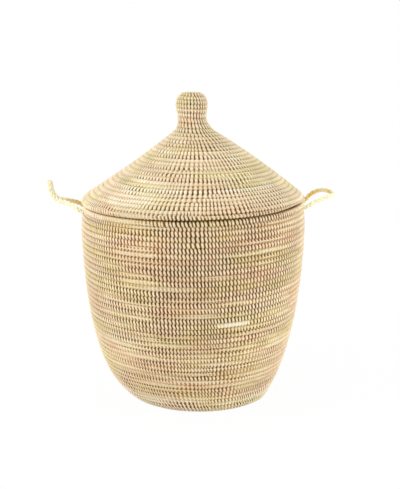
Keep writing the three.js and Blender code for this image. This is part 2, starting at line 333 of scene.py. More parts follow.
    def sway(self, radius: Array, height: Array) -> Array:
        """Return how far the coil's middle lies towards +X.

        Args:
            radius: the radius of each place.
            height: its height.

        Returns:
            The shift of each place.
        """
        share = np.minimum(radius / self.foot_flat_radius, 1)
        fade = np.exp(-np.maximum(height, 0) / self.foot_shift_fade)
        low = self.foot_shift * share**2 * fade
        rise = (height - self.cone_start) / (self.neck_centre[1] - self.cone_start)
        bulge = np.sin(math.pi * np.clip(rise, 0, 1))
        high = self.cone_shift * bulge - self.lid_lean * (height - self.body_height)
        return np.where(height <= self.body_height, low, high)

    def tilt_rise(self, x: Array, y: Array, height: Array) -> Array:
        """Return how much higher a place lies than the middle of its row.

        Args:
            x: how far the place lies to the right.
            y: how far it lies to the back.
            height: the height of the row's middle.

        Returns:
            The rise of each place.
        """
        ease = np.clip((height - self.lid_base) / self.lid_shoulder_height, 0, 1)
        right = self.rim_tilt_right * (1 - self.lid_levelling * ease * ease * (3 - 2 * ease))
        built_up = 1 - np.exp(-((np.maximum(height, 0) / self.tilt_height) ** 3))
        return (x * right + y * self.rim_tilt_back) * built_up

    def place(self, outline: Outline, angle: Array, along: Array, depth: Array) -> Array:
        """Turn coil measures into places in the row frame.

        Args:
            outline: the outline that the coil follows.
            angle: the angle round the basket in radians.
            along: the length along the outline.
            depth: the depth below the outer face.

        Returns:
            An array of places in metres, with the last axis X, Y and Z.
        """
        radius, height = outline.at(along, depth)
        x = radius * np.cos(angle) + self.sway(radius, height)
        y = radius * np.sin(angle)
        return np.stack([x, y, height + self.tilt_rise(x, y, height)], -1) * MM


SHAPE = HandWork()


# Meshes


def write_mesh(
    name: str,
    corners: Array,
    quads: Array,
    material: Material,
    maps: dict[str, Array] | None = None,
    tones: dict[str, Array] | None = None,
    sharp: float | None = None,
) -> Piece:
    """Write a mesh of four-sided faces as a shaded object.

    Args:
        name: the object's name.
        corners: places in metres, one a row.
        quads: four corner numbers for each face.
        material: the finish of every face.
        maps: UV maps by name, with one row for each corner of each face.
        tones: values by name, one for each corner, for the material to read.
        sharp: the angle in radians past which an edge stays sharp, or None.

    Returns:
        The object, linked to the scene.
    """
    mesh = bpy.data.meshes.new(name)
    mesh.vertices.add(len(corners))
    mesh.vertices.foreach_set("co", corners.astype(np.float32).ravel())
    mesh.loops.add(quads.size)
    mesh.loops.foreach_set("vertex_index", quads.astype(np.int32).ravel())
    mesh.polygons.add(len(quads))
    mesh.polygons.foreach_set("loop_start", np.arange(0, quads.size, 4, dtype=np.int32))
    mesh.polygons.foreach_set("use_smooth", np.ones(len(quads), dtype=bool))
    for map_name, values in (maps or {}).items():
        layer = mesh.uv_layers.new(name=map_name)
        layer.data.foreach_set("uv", values.astype(np.float32).ravel())
    for tone_name, values in (tones or {}).items():
        attribute = mesh.attributes.new(tone_name, "FLOAT", "POINT")
        attribute.data.foreach_set("value", values.astype(np.float32))
    mesh.update(calc_edges=True)
    mesh.validate()
    if sharp is not None:
        mesh.set_sharp_from_angle(angle=sharp)
    mesh.materials.append(material)
    piece = bpy.data.objects.new(name, mesh)
    bpy.context.scene.collection.objects.link(piece)
    return piece


def tube_quads(rings: int, sides: int, capped: bool = True) -> Array:
    """Return the faces of a tube, with corners numbered ring by ring.

    Args:
        rings: how many rings the tube has.
        sides: how many sides a ring has, an even number.
        capped: whether the first and last ring are closed.

    Returns:
        Four corner numbers for each face, turned outwards, with the caps last.
    """
    ring = np.arange(rings - 1)[:, None] * sides
    side = np.arange(sides)[None, :]
    after = (side + 1) % sides
    faces = np.stack([ring + side, ring + after, ring + sides + after, ring + sides + side], -1)
    faces = faces.reshape(-1, 4)
    if not capped:
        return faces
    step = np.arange(sides // 2 - 1)[:, None]
    cap = np.concatenate([step, step + 1, sides - 2 - step, sides - 1 - step], 1)
    return np.concatenate([faces, cap[:, ::-1], cap + (rings - 1) * sides])


def tube_places(rings: int, sides: int) -> tuple[Array, Array]:
    """Return how far along and round a tube the corners of its faces lie.

    Args:
        rings: how many rings the tube has.
        sides: how many sides a ring has.

    Returns:
        The ring's number and the side's number at the four corners of each face, without caps.
    """
    ring = np.repeat(np.arange(rings - 1), sides)[:, None] + np.array([0, 0, 1, 1])
    side = np.tile(np.arange(sides), rings - 1)[:, None] + np.array([0, 1, 1, 0])
    return ring, side


def tube_map(across: Array, up: Array, caps: int) -> Array:
    """Return a tube's UV map from its faces' corners, with the faces of its caps in one place."""
    return np.concatenate([np.stack([across, up], -1).reshape(-1, 2), np.zeros((caps * 4, 2))])


# Rows of coil


def fuller(wave: Array) -> Array:
    """Return a sine or cosine swelled so that a row's section is fuller than an ellipse."""
    return np.sign(wave) * np.abs(wave) ** SECTION_POWER


@dataclass
class CoilRun:
    """A stretch of coil that winds up an outline, either as a spiral or in level rings.

    A place on the run is given in turns. In a spiral the row climbs by one pitch in a turn, and
    it thins out against the low and high end, lengths along the outline that it stays between.
    The pitches are marks, each a length along the outline and the rows' pitch there.
    """

    outline: Outline
    first: float
    last: float
    low_end: float
    high_end: float
    pitches: Places
    level: bool = False
    half_thickness: float = 4.1
    depth: float = 4.5
    lift_at: Callable[[Array], Array] | None = None
    full_width: float = 9.0
    least_fullness: float = 0.15
    strip_radius: float = 3.0
    tight_radius: float = 20.0
    samples_a_turn: int = 90
    table: tuple[Array, Array] = field(init=False)

    def __post_init__(self) -> None:
        """Work out how many turns lie below each length along the outline."""
        along = np.linspace(0, self.outline.length, 2000)
        pitch = self.pitch_at(along)
        turns = np.concatenate([[0], np.cumsum(np.diff(along) * 2 / (pitch[1:] + pitch[:-1]))])
        self.table = (turns, along)

    def pitch_at(self, along: Array) -> Array:
        """Return the rows' pitch at each length along the outline."""
        return np.interp(along, *np.array(self.pitches).T)

    def along_at(self, turns: Array) -> Array:
        """Return how far along the outline the row's middle would lie with no ends.

        Args:
            turns: places on the run.

        Returns:
            Lengths along the outline, which may lie beyond it.
        """
        known, along = self.table
        inside = np.interp(turns, known, along)
        below = np.minimum(turns, 0) * self.pitch_at(along[:1])[0]
        above = np.maximum(turns - known[-1], 0) * self.pitch_at(along[-1:])[0]
        return inside + below + above

    def span(self, turns: Array) -> tuple[Array, Array]:
        """Return where the row lies.

        Args:
            turns: places on the run.

        Returns:
            The length along the outline of the row's middle, and half the row's width.
        """
        centre = np.floor(turns) + 0.5 if self.level else turns
        low_end = self.low_end + (self.lift_at(turns) if self.lift_at else 0)
        low = np.clip(self.along_at(centre - 0.5), low_end, self.high_end)
        high = np.clip(self.along_at(centre + 0.5), self.low_end, self.high_end)
        return (low + high) / 2, (high - low) / 2

    def fullness(self, half: Array) -> Array:
        """Return how thick the row is at each half width, as a share of a full row."""
        return np.sqrt(np.clip(2 * half / self.full_width, self.least_fullness, 1.0))

    def angle(self, turns: Array) -> Array:
        """Return the angle round the basket. The coil climbs clockwise, seen from above."""
        return math.pi - TURN * turns

    def radius(self, turns: Array) -> Array:
        """Return the radius of the row's middle, at least that of the tightest strip.

        Args:
            turns: places on the run.

        Returns:
            The radii.
        """
        middle, _ = self.span(turns)
        radius, _ = self.outline.at(middle, np.full_like(middle, self.depth))
        return np.maximum(radius, self.strip_radius)

    def steps(self, spacing: float) -> Array:
        """Return places a spacing apart along the row, and closer where it winds tightly.

        Args:
            spacing: the length from place to place.

        Returns:
            The places in turns, with both ends of the run among them.
        """
        samples = int((self.last - self.first) * self.samples_a_turn) + 2
        fine = np.linspace(self.first, self.last, samples)
        middle = (fine[1:] + fine[:-1]) / 2
        lengths = np.diff(fine) * TURN * np.maximum(self.radius(middle), self.tight_radius)
        total = np.concatenate([[0], np.cumsum(lengths)])
        count = max(int(round(total[-1] / spacing)), 8)
        return np.interp(np.linspace(0, total[-1], count + 1), total, fine)


@dataclass(frozen=True)
class Stretch:
    """A stretch of coil or strip that is paler, darker or redder than the rest, some from stalks of
    another tone and some as painted light and shade.

    Rows are counted in turns from the start of the coil, and the two ends are given in degrees
    round the basket from its front, positive towards +X.
    """

    first_row: int
    last_row: int
    start: float
    end: float
    paler: float = 0.0
    redder: float = 0.0
    fade: float = 4.0

    def share(self, turns: Array) -> Array:
        """Return how much of this stretch there is at each place.

        Args:
            turns: places on the coil.

        Returns:
            The shares, from 0 to 1.
        """
        # The coil is at its front a quarter turn before each whole turn.
        row = np.round(turns - 0.75)
        degrees = (row + 0.75 - turns) * 360
        rise = np.clip((degrees - self.start) / self.fade, 0, 1)
        fall = np.clip((self.end - degrees) / self.fade, 0, 1)
        return rise * fall * ((row >= self.first_row) & (row <= self.last_row))


@dataclass
class GrassRows:
    """The grass core of a run of coil, as one unbroken tube."""

    run: CoilRun
    stretches: Sequence[Stretch] = ()
    step: float = 7.0
    sides: int = 8
    girth: float = 28.0
    lump_rings: int = 6
    lump_share: float = 0.035
    # An end thins out over so many rings, down to a share of its size.
    taper_rings: float = 4.0
    taper_start: float = 0.6
    taper_least: float = 0.15
    row_gap: float = 0.2
    least_half_width: float = 0.4
    rings_on_map: int = 150

    def build(self, name: str, finish: Material, seed: int) -> Piece:
        """Build the core.

        Args:
            name: the piece's name.
            finish: the grass finish.
            seed: the seed of the bundle's unevenness.

        Returns:
            The piece.
        """
        run = self.run
        turns = run.steps(self.step)
        rings = np.arange(len(turns))
        rng = np.random.default_rng(seed)
        middle, half = run.span(turns)
        knots = rng.normal(size=len(turns) // self.lump_rings + 2)
        lumps = np.interp(rings / self.lump_rings, np.arange(len(knots)), knots)
        ends = np.minimum(rings, rings[::-1])
        taper = np.ones(len(turns))
        if not run.level:
            taper = np.clip((ends + self.taper_start) / self.taper_rings, self.taper_least, 1)
        thick = run.half_thickness * run.fullness(half) * (1 + self.lump_share * lumps) * taper
        wide = np.maximum(half - self.row_gap, self.least_half_width) * taper
        turn = np.linspace(0, TURN, self.sides, endpoint=False)[None, :]
        along = middle[:, None] + wide[:, None] * fuller(np.sin(turn))
        depth = run.depth - thick[:, None] * fuller(np.cos(turn))
        corners = SHAPE.place(run.outline, run.angle(turns)[:, None], along, depth).reshape(-1, 3)
        if run.level:
            # A level row is a ring: its last section is its first one.
            corners = corners[: -self.sides]
        quads = tube_quads(len(turns), self.sides, capped=not run.level) % len(corners)
        maps = self.maps(len(turns), 0 if run.level else self.sides - 2)
        tones = {}
        # Paler, darker and redder stretches: stalks of other tones, and in some stretches painted
        # light and shade.
        for tone in ("paler", "redder"):
            amount = sum(getattr(each, tone) * each.share(turns) for each in self.stretches)
            amount = amount + np.zeros(len(turns))
            tones[f"{tone}_stalks"] = np.repeat(amount, self.sides)[: len(corners)]
        return write_mesh(name, corners, quads, finish, maps, tones)

    def maps(self, rings: int, caps: int) -> dict[str, Array]:
        """Return the UV maps of the tube.

        Args:
            rings: how many rings the tube has.
            caps: how many faces its caps have.

        Returns:
            A map in metres for the pattern, and one that packs the tube's lengths side by side.
        """
        ring, side = tube_places(rings, self.sides)
        rows = math.ceil((rings - 1) / self.rings_on_map)
        row = ring[:, :1] // self.rings_on_map
        across = 0.002 + 0.996 * (ring / self.rings_on_map - row)
        up = (row + 0.04 + 0.92 * side / self.sides) / rows
        around = side * self.girth / self.sides * MM
        coil = tube_map(ring * self.step * MM, around, caps)
        return {"OFBake": tube_map(across, up, caps), "coil": coil}


@dataclass
class StripStitches:
    """Strip stitches round a run of coil, each a closed band that bites into the row below."""

    run: CoilRun
    spacing_at: Callable[[Array], Array]
    stretches: Sequence[Stretch] = ()
    strip_width: float = 3.8
    cover: float = 0.53
    strip_height: float = 0.75
    slant: float = 3.4
    bite: float = 0.4
    reach: float = 0.55
    off_core: float = 0.05
    from_top: bool = False
    stitches_per_strip: int = 30
    # How much of a stitch's tone it has from the length of strip that it is sewn with.
    shared_tone: float = 0.75
    evenings: int = 4
    # A stitch is left out where half the row's width is less than this.
    least_half_row: float = 1.2
    # The strip leans less where the stitches or the rows are closer than these.
    usual_spacing: float = 6.6
    usual_half_row: float = 5.0
    crowding: tuple[float, float] = (0.7, 1.15)
    sharp_angle: float = math.radians(62)
    # Shares of a stride: how far ahead the stitch beside must lie, the longest step taken to it,
    # how far the walk may fall behind before a stitch is added, and the sewer's unevenness.
    ahead: float = 0.45
    longest: float = 1.7
    patience: float = 1.5
    uneven_step: float = 0.04
    uneven_ring: float = 0.08
    uneven_width: float = 0.06
    uneven_slant: float = 0.15
    # Stations round the row: the angle, with 0 on the outer face and 90 at its upper edge, how wide
    # the strip is, and how much painted shade it takes. It is gathered where it goes down between
    # rows.
    stations: Places = (
        (90, 0.7, 0.9),
        (60, 0.92, 0.6),
        (30, 1.08, 0.1),
        (0, 1.12, 0.0),
        (-30, 1.05, 0.1),
        (-60, 0.86, 0.6),
        (-90, 0.6, 1.0),
        (-135, 0.55, 0.4),
        (180, 0.7, 0.0),
        (135, 0.65, 0.4),
    )
    # Corners across the strip: the place from edge to edge, and how far it stands off the row.
    section: Places = ((-1.0, -0.3), (-0.62, 1.0), (0.62, 1.0), (1.0, -0.3))
    # The order of a face's corners that turns it over.
    turned: tuple[int, ...] = (0, 3, 2, 1)

    def walk(self, rng: np.random.Generator) -> Array:
        """Walk along the coil and place each stitch beside the one in the row before.

        The columns of stitches stay in line where they can. One is added where the row has grown
        by a stitch, and the rows after it share the room out again.

        Args:
            rng: the source of the sewer's unevenness.

        Returns:
            The places of the stitches, in turns.
        """
        run = self.run
        if run.level:
            return self.even(rng)
        travel = np.linspace(0, run.last - run.first, 4000)
        radii = run.radius(run.last - travel if self.from_top else run.first + travel)
        strides = self.spacing_at(radii) / (TURN * radii)
        places = [0.0]
        before, owed = 0, 0.0
        while places[-1] < travel[-1]:
            place = places[-1]
            stride = float(np.interp(place, travel, strides))
            limit = stride * (self.patience + rng.random())
            while before + 2 < len(places) and places[before] + 1 < place + self.ahead * stride:
                before += 1
            step = self.step_beside(places, before, place)
            if step >= self.longest * stride:
                step = stride
            elif owed + step - stride > limit:
                step *= 0.5
            elif owed + step - stride < -limit:
                before += 1
                step = self.step_beside(places, before, place)
            owed += step - stride
            places.append(place + step + self.uneven_step * stride * float(rng.normal()))
        walked = np.array(places)
        for _ in range(self.evenings):
            walked[1:-1] = (walked[:-2] + 2 * walked[1:-1] + walked[2:]) / 4
        return run.last - walked[::-1] if self.from_top else run.first + walked

    @staticmethod
    def step_beside(places: Sequence[float], before: int, place: float) -> float:
        """Return the step that leads to the place beside a stitch of the row before.

        Args:
            places: the places walked so far, in turns.
            before: the number of the stitch in the row before.
            place: the place of the last stitch.

        Returns:
            The step in turns, which is endless in the first row.
        """
        near = places[max(before - 1, 0) : before + 2]
        weights = (0.25, 0.5, 0.25)
        if len(near) < len(weights):
            return math.inf
        return 1 + sum(weight * value for weight, value in zip(weights, near)) - place

    def even(self, rng: np.random.Generator) -> Array:
        """Return evenly spaced places for level rings.

        Args:
            rng: the source of the sewer's unevenness.

        Returns:
            The places of the stitches, in turns.
        """
        places = []
        for row in range(int(self.run.first), int(round(self.run.last))):
            radius = self.run.radius(np.array([row + 0.5]))
            count = int(round(TURN * radius[0] / self.spacing_at(radius)[0]))
            uneven = self.uneven_ring * rng.normal(size=count)
            places.append(row + (np.arange(count) + 0.5 + uneven) / count)
        return np.concatenate(places)

    def build(
        self, names: Sequence[str], finish: Material, seed: int, cuts: Sequence[float] = ()
    ) -> list[Piece]:
        """Build the stitches as one piece for each name.

        Args:
            names: the pieces' names, from the run's start to its end.
            finish: the strip finish.
            seed: the seed of the stitches' unevenness.
            cuts: places in turns where one piece ends and the next begins.

        Returns:
            The pieces.
        """
        rng = np.random.default_rng(seed)
        places = self.walk(rng)
        _, half = self.run.span(places)
        places = places[half > self.least_half_row]
        limits = [-math.inf, *cuts, math.inf]
        pieces = []
        for name, low, high in zip(names, limits[:-1], limits[1:]):
            chosen = places[(places >= low) & (places < high)]
            pieces.append(self.bands(name, chosen, finish, rng))
            log.info("%s: %d stitches", name, len(chosen))
        return pieces

    def bands(
        self, name: str, places: Array, finish: Material, rng: np.random.Generator
    ) -> Piece:
        """Build one piece of stitches.

        Args:
            name: the piece's name.
            places: the places of its stitches, in turns.
            finish: the strip finish.
            rng: the source of the strips' unevenness.

        Returns:
            The piece.
        """
        run, count = self.run, len(places)
        middle, half = run.span(places)
        radius = run.radius(places)
        room = self.spacing_at(radius)
        crowding = np.clip(np.gradient(places) * TURN * radius / room, *self.crowding)
        width = np.minimum(self.strip_width, self.cover * room) * crowding
        width = width * (1 + self.uneven_width * rng.normal(size=count))
        slant = self.slant * np.minimum(room / self.usual_spacing, 1)
        slant = slant * (1 + self.uneven_slant * rng.normal(size=count))
        slant = slant * np.minimum(half / self.usual_half_row, 1)
        bulge = run.half_thickness * run.fullness(half) + self.off_core
        of_each = (middle, run.angle(places), radius, width, slant, bulge, half + self.reach)
        middle, angle, radius, width, slant, bulge, reach = (of[:, None, None] for of in of_each)
        loop, gather, painted_groove_shade = np.array(self.stations).T[:, :, None]
        turn = np.radians(loop)
        side, lift = np.array(self.section).T
        lift = lift * self.strip_height
        lean = np.arctan2(slant / 2, reach)
        across = side * gather * (width / 2)
        tangent = -slant / 2 * np.sin(turn) + across * np.cos(lean)
        along = middle - self.bite + (reach + lift) * fuller(np.sin(turn)) + across * np.sin(lean)
        depth = run.depth - (bulge + lift) * fuller(np.cos(turn))
        corners = SHAPE.place(run.outline, angle + tangent / radius, along, depth).reshape(-1, 3)
        # Paler and darker stretches of strip: the white strip, and painted light and shade in the
        # rest.
        paler = sum((each.paler * each.share(places) for each in self.stretches), np.zeros(count))
        tone = np.clip(self.tones(count, rng) + paler, 0, 1)
        tones = {
            "stitch_tone": np.repeat(tone, loop.size * side.size),
            # Painted shade: each corner's share of the darker colour where the strip goes down
            # between rows.
            "painted_groove_shade": np.tile(np.repeat(painted_groove_shade, side.size), count),
        }
        # A band is a tube that closes on itself. Its angle falls, so its faces are turned over.
        band = tube_quads(loop.size + 1, side.size, capped=False) % (loop.size * side.size)
        first = np.arange(count)[:, None, None] * loop.size * side.size
        quads = (first + band[:, self.turned]).reshape(-1, 4)
        return write_mesh(name, corners, quads, finish, self.maps(count), tones, self.sharp_angle)

    def tones(self, count: int, rng: np.random.Generator) -> Array:
        """Return a tone for each stitch, much alike within each length of strip.

        Args:
            count: how many stitches there are.
            rng: the source of the tones.

        Returns:
            The tones, from 0 to 1.
        """
        lengths = np.cumsum(rng.random(count) < 1 / self.stitches_per_strip)
        shared = rng.random(lengths[-1] + 1)[lengths]
        return self.shared_tone * shared + (1 - self.shared_tone) * rng.random(count)

    def maps(self, count: int) -> dict[str, Array]:
        """Return the UV maps of the bands.

        Args:
            count: how many stitches there are.

        Returns:
            A map with a cell for each stitch, and a map in metres for the pattern.
        """
        steps, sides = len(self.stations), len(self.section)
        places = (each[:, self.turned] for each in tube_places(steps + 1, sides))
        stitch, step, side = np.broadcast_arrays(np.arange(count)[:, None, None], *places)
        columns = math.ceil(math.sqrt(count))
        u = 0.06 + 0.88 * side / sides
        v = 0.06 + 0.88 * step / steps
        cells = ((stitch % columns + u) / columns, (stitch // columns + v) / columns)
        # A strip is 6 mm round its section and 30 mm long, and the next lies 20 mm beside it.
        strips = (u * 6 * MM + stitch * 20 * MM, v * 30 * MM)
        maps = {"OFBake": cells, "strip": strips}
        return {name: np.stack(places, -1).reshape(-1, 2) for name, places in maps.items()}


# Plaited loops


class Lay(NamedTuple):
    """A strand or a knot of a loop: the corners of a tube, ring by ring, and its dress."""

    corners: Array
    golden: Array
    pattern: Array

    @property
    def faces(self) -> Array:
        """The faces of the tube."""
        return tube_quads(*self.corners.shape[:2])


def smooth_route(stations: Array, count: int) -> Array:
    """Return points on a smooth curve through all stations.

    Args:
        stations: places that the curve goes through, one a row.
        count: how many points to return.

    Returns:
        Points an even distance apart, one a row.
    """
    ends = np.stack([2 * stations[0] - stations[1], 2 * stations[-1] - stations[-2]])
    padded = np.concatenate([ends[:1], stations, ends[1:]])
    share = np.linspace(0, 1, 40, endpoint=False)[:, None]
    points = []
    for near in zip(padded, padded[1:], padded[2:], padded[3:]):
        before, start, end, after = near
        # A span counts for the root of its length, so that the curve forms no kink.
        roots = [max(np.linalg.norm(b - a) ** 0.5, 1e-4) for a, b in zip(near, near[1:])]
        leave = (start - before) / roots[0] - (end - before) / (roots[0] + roots[1])
        leave = (leave + (end - start) / roots[1]) * roots[1]
        arrive = (end - start) / roots[1] - (after - start) / (roots[1] + roots[2])
        arrive = (arrive + (after - end) / roots[2]) * roots[1]
        bend = 2 * start - 2 * end + leave + arrive
        lean = -3 * start + 3 * end - 2 * leave - arrive
        points.append(start + share * (leave + share * (lean + share * bend)))
    fine = np.concatenate([*points, stations[-1:]])
    total = lengths_along(fine)
    even = np.linspace(0, total[-1], count)
    return np.stack([np.interp(even, total, values) for values in fine.T], 1)


@dataclass
class PlaitedLoop:
    """A carrying loop: a three-strand plait whose ends pass through the wall to knots inside.

    The route of one arm goes from the wall to the tip, each place given by how far it lies out
    from the hinge, how far up, and how far aside. Golden stretches are given by their middle and
    spread, as shares of the plait's length, and by how golden they are. Most are leaf yellowed
    with age, and the small ones near the tip are painted shade.
    """

    side: int
    route: Places
    tip: tuple[float, float]
    lean: float
    golden: Places
    root_spacing: float = 64.0
    hole_drop: float = 12.0
    tail: float = 4.0
    rope_radius: float = 4.4
    turning_gap: float = 0.8
    plait_width: float = 2.35
    plait_rise: float = 1.05
    plait_pitch: float = 28.0
    strands: int = 3
    strand_half_width: float = 2.3
    strand_half_height: float = 1.65
    strand_sides: int = 8
    strand_side: float = 1.6
    step: float = 1.6
    # A strand thins out over so many millimetres at the rope's ends, down to a share of its size.
    taper: float = 3.0
    taper_start: float = 0.5
    taper_least: float = 0.3
    knot_radius: float = 7.0
    knot_drop: float = 5.0
    knot_rings: int = 9
    knot_sides: int = 12
    knot_side: float = 3.6
    knot_step: float = 1.8
    knot_gold: float = 0.3
    # Shares of the knot's radius: how far it lies beyond the rope's end, how far inwards from it,
    # how tall it is, how far its rings go towards its poles, and how high its wound ridges are.
    knot_beyond: float = 0.6
    knot_inwards: float = 0.75
    knot_tall: float = 1.05
    knot_closing: float = 0.97
    knot_ridge: float = 0.09
    # How far apart strands and knots lie in the pattern, so that none repeats another.
    strand_apart: float = 50.0
    knot_apart: float = 100.0

    @property
    def label(self) -> str:
        """The side's name, as the CAD nodes have it."""
        return "left" if self.side < 0 else "right"

    def stations(self) -> Array:
        """Find the places that the rope goes through.

        Returns:
            The route from the near knot round the tip to the far knot, one place a row.
        """
        outline = SHAPE.body_outline()
        level = SHAPE.body_height - self.hole_drop
        along = np.full(2, outline.along_at_height(level))
        faces, _ = outline.at(along, np.array([0, SHAPE.coil_thickness]))
        half = self.root_spacing / 2
        hole, inside = (math.sqrt(radius**2 - half**2) for radius in faces.tolist())
        height = level + float(SHAPE.tilt_rise(self.side * hole, 0.0, np.array(level)))
        pivot = hole + self.turning_gap + self.rope_radius
        tail = inside - pivot - self.tail
        arm = [(tail, 0, half), (-self.rope_radius, 0, half), (0, 0, half), *self.route]
        arms = []
        for end in (-1, 1):
            places = []
            for out, up, aside in arm:
                arch = math.sin(math.pi * min(max(out, 0) / self.tip[0], 1))
                rise = end * self.lean * arch
                places.append((self.side * (pivot + out), end * aside, height + up + rise))
            arms.append(places)
        tip = (self.side * (pivot + self.tip[0]), 0.0, height + self.tip[1])
        return np.array([*arms[0], tip, *arms[1][::-1]])

    def build(self, finish: Material) -> Piece:
        """Build the loop, its ends and its two knots as one piece.

        Args:
            finish: the palm leaf finish.

        Returns:
            The piece.
        """
        stations = self.stations()
        length = float(lengths_along(smooth_route(stations, 400))[-1])
        route = smooth_route(stations, int(length / self.step))
        way = np.gradient(route, axis=0)
        way /= np.linalg.norm(way, axis=1)[:, None]
        along = np.linspace(0, length, len(route))
        lays = [self.strand(number, route, way, along) for number in range(self.strands)]
        lays += [self.knot(route[0], -way[0], 0), self.knot(route[-1], way[-1], 1)]
        corners = [lay.corners.reshape(-1, 3) for lay in lays]
        firsts = np.cumsum([0] + [len(places) for places in corners])
        faces = [lay.faces + first for lay, first in zip(lays, firsts)]
        golden = [np.repeat(lay.golden, lay.corners.shape[1]) for lay in lays]
        patterns = [lay.pattern for lay in lays]
        maps = {"OFBake": self.packed_map(patterns), "strand": np.concatenate(patterns)}
        piece = write_mesh(
            f"{self.label}_plaited_loop",
            np.concatenate(corners) * MM,
            np.concatenate(faces),
            finish,
            maps,
            {"golden": np.concatenate(golden)},
        )
        log.info("%s: rope %.0f mm from knot to knot", piece.name, length)
        return piece

    @staticmethod
    def carried_normals(way: Array) -> Array:
        """Carry the plait's wide direction along the route without twisting it.

        Args:
            way: the direction of the route at each point.

        Returns:
            The wide direction at each point.
        """
        start = np.cross(way[0], (0, 1, 0))
        normals = [start / np.linalg.norm(start)]
        for step in way[1:]:
            carried = normals[-1] - step * float(normals[-1] @ step)
            normals.append(carried / np.linalg.norm(carried))
        return np.array(normals)

    def strand(self, number: int, route: Array, way: Array, along: Array) -> Lay:
        """Build one strand of the plait.

        Args:
            number: the strand's number, from 0.
            route: the plait's middle line.
            way: its direction at each point.
            along: the length along the route at each point.

        Returns:
            The strand.
        """
        wide = self.carried_normals(way)
        deep = np.cross(way, wide)
        phase = along / self.plait_pitch * TURN + number * TURN / self.strands
        shift = self.plait_width * np.sin(phase)
        rise = self.plait_rise * np.sin(2 * phase)
        middle = route + wide * shift[:, None] + deep * rise[:, None]
        turn = np.linspace(0, TURN, self.strand_sides, endpoint=False)
        ends = np.minimum(along, along[-1] - along)
        size = np.clip((ends + self.taper_start) / self.taper, self.taper_least, 1)
        size = size[:, None, None]
        ring_wide = self.strand_half_width * np.cos(turn)[None, :, None] * size
        ring_deep = self.strand_half_height * np.sin(turn)[None, :, None] * size
        corners = middle[:, None] + wide[:, None] * ring_wide + deep[:, None] * ring_deep
        ring, side = tube_places(len(along), self.strand_sides)
        up = (side * self.strand_side + number * self.strand_apart) * MM
        pattern = tube_map(ring * self.step * MM, up, self.strand_sides - 2)
        # Golden stretches: leaf yellowed with age, and near the tip painted shade.
        golden = sum(
            amount * np.exp(-(((along / along[-1] - centre) / spread) ** 2))
            for centre, spread, amount in self.golden
        )
        return Lay(corners, golden, pattern)

    def knot(self, end: Array, outward: Array, number: int) -> Lay:
        """Build the stopper knot at one end of the rope, as a wound lump that hangs below it.

        Args:
            end: the rope's end.
            outward: the direction in which the rope ends.
            number: the knot's number, from 0.

        Returns:
            The knot.
        """
        lift = np.linspace(-1, 1, self.knot_rings)[:, None]
        turn = np.linspace(0, TURN, self.knot_sides, endpoint=False)
        centre = end + outward * self.knot_radius * self.knot_beyond
        centre = centre - np.array([0, 0, self.knot_drop])
        centre[0] = end[0] - self.side * self.knot_radius * self.knot_inwards
        girth = np.sqrt(1 - (self.knot_closing * lift) ** 2)
        # Three ridges wind round the knot as it rises.
        radius = self.knot_radius * girth * (1 + self.knot_ridge * np.sin(3 * turn + 2.5 * lift))
        height = np.broadcast_to(self.knot_tall * self.knot_radius * lift, radius.shape)
        corners = np.stack([radius * np.cos(turn), radius * np.sin(turn), height], -1) + centre
        ring, side = tube_places(self.knot_rings, self.knot_sides)
        up = (ring * self.knot_step + (3 + number) * self.knot_apart) * MM
        pattern = tube_map(side * self.knot_side * MM, up, self.knot_sides - 2)
        return Lay(corners, np.full(self.knot_rings, self.knot_gold), pattern)

    @staticmethod
    def packed_map(patterns: Sequence[Array]) -> Array:
        """Pack patterns side by side into the unit square.

        Args:
            patterns: the UV map of each strand and knot.

        Returns:
            One map for them all.
        """
        rows = []
        for number, pattern in enumerate(patterns):
            low = pattern.min(0)
            inside = (pattern - low) / np.maximum(pattern.max(0) - low, 1e-6)
            up = (number + 0.05 + 0.9 * inside[:, 1]) / len(patterns)
            rows.append(np.stack([0.01 + 0.98 * inside[:, 0], up], 1))
        return np.concatenate(rows)


# Finishes


def linear(hex_colour: str) -> tuple[float, float, float, float]:
    """Turn an sRGB hex colour, such as "f8e8cc", into linear values with alpha.

    Args:
        hex_colour: the colour, as six hex digits.

    Returns:
        Linear red, green and blue, and full alpha.
    """
    values = [int(hex_colour[i : i + 2], 16) / 255 for i in (0, 2, 4)]
    red, green, blue = (v / 12.92 if v <= 0.04045 else ((v + 0.055) / 1.055) ** 2.4 for v in values)
    return red, green, blue, 1.0


def per_metre(length: float, width: float, height: float = 1000.0) -> tuple[float, ...]:
    """Return how often a pattern repeats in a metre along each axis, from its size in mm."""
    return tuple(1 / MM / size for size in (length, width, height))


def add_node(
    tree: Tree,
    kind: str,
    inputs: dict[str | int, object] | None = None,
    stops: Stops = (),
    **settings: object,
) -> Node:
    """Add a node with its settings and links.

    Args:
        tree: the node tree.
        kind: the node's type, without the word ShaderNode.
        inputs: for each input, by name or number, its value, the output that it is linked to, or
            a node, which stands for its first output.
        stops: the places and sRGB hex colours of a colour ramp.
        settings: the node's own properties by name.

    Returns:
        The node.
    """
    node = tree.nodes.new(f"ShaderNode{kind}")
    for name, value in settings.items():
        setattr(node, name, value)
    for number, (place, colour) in enumerate(stops):
        elements = node.color_ramp.elements
        # A new ramp has two stops.
        element = elements[number] if number < 2 else elements.new(place)
        element.position = place
        element.color = linear(colour)
    for key, value in (inputs or {}).items():
        source = value.outputs[0] if isinstance(value, Node) else value
        if isinstance(source, Socket):
            tree.links.new(source, node.inputs[key])
        else:
            node.inputs[key].default_value = source
    return node


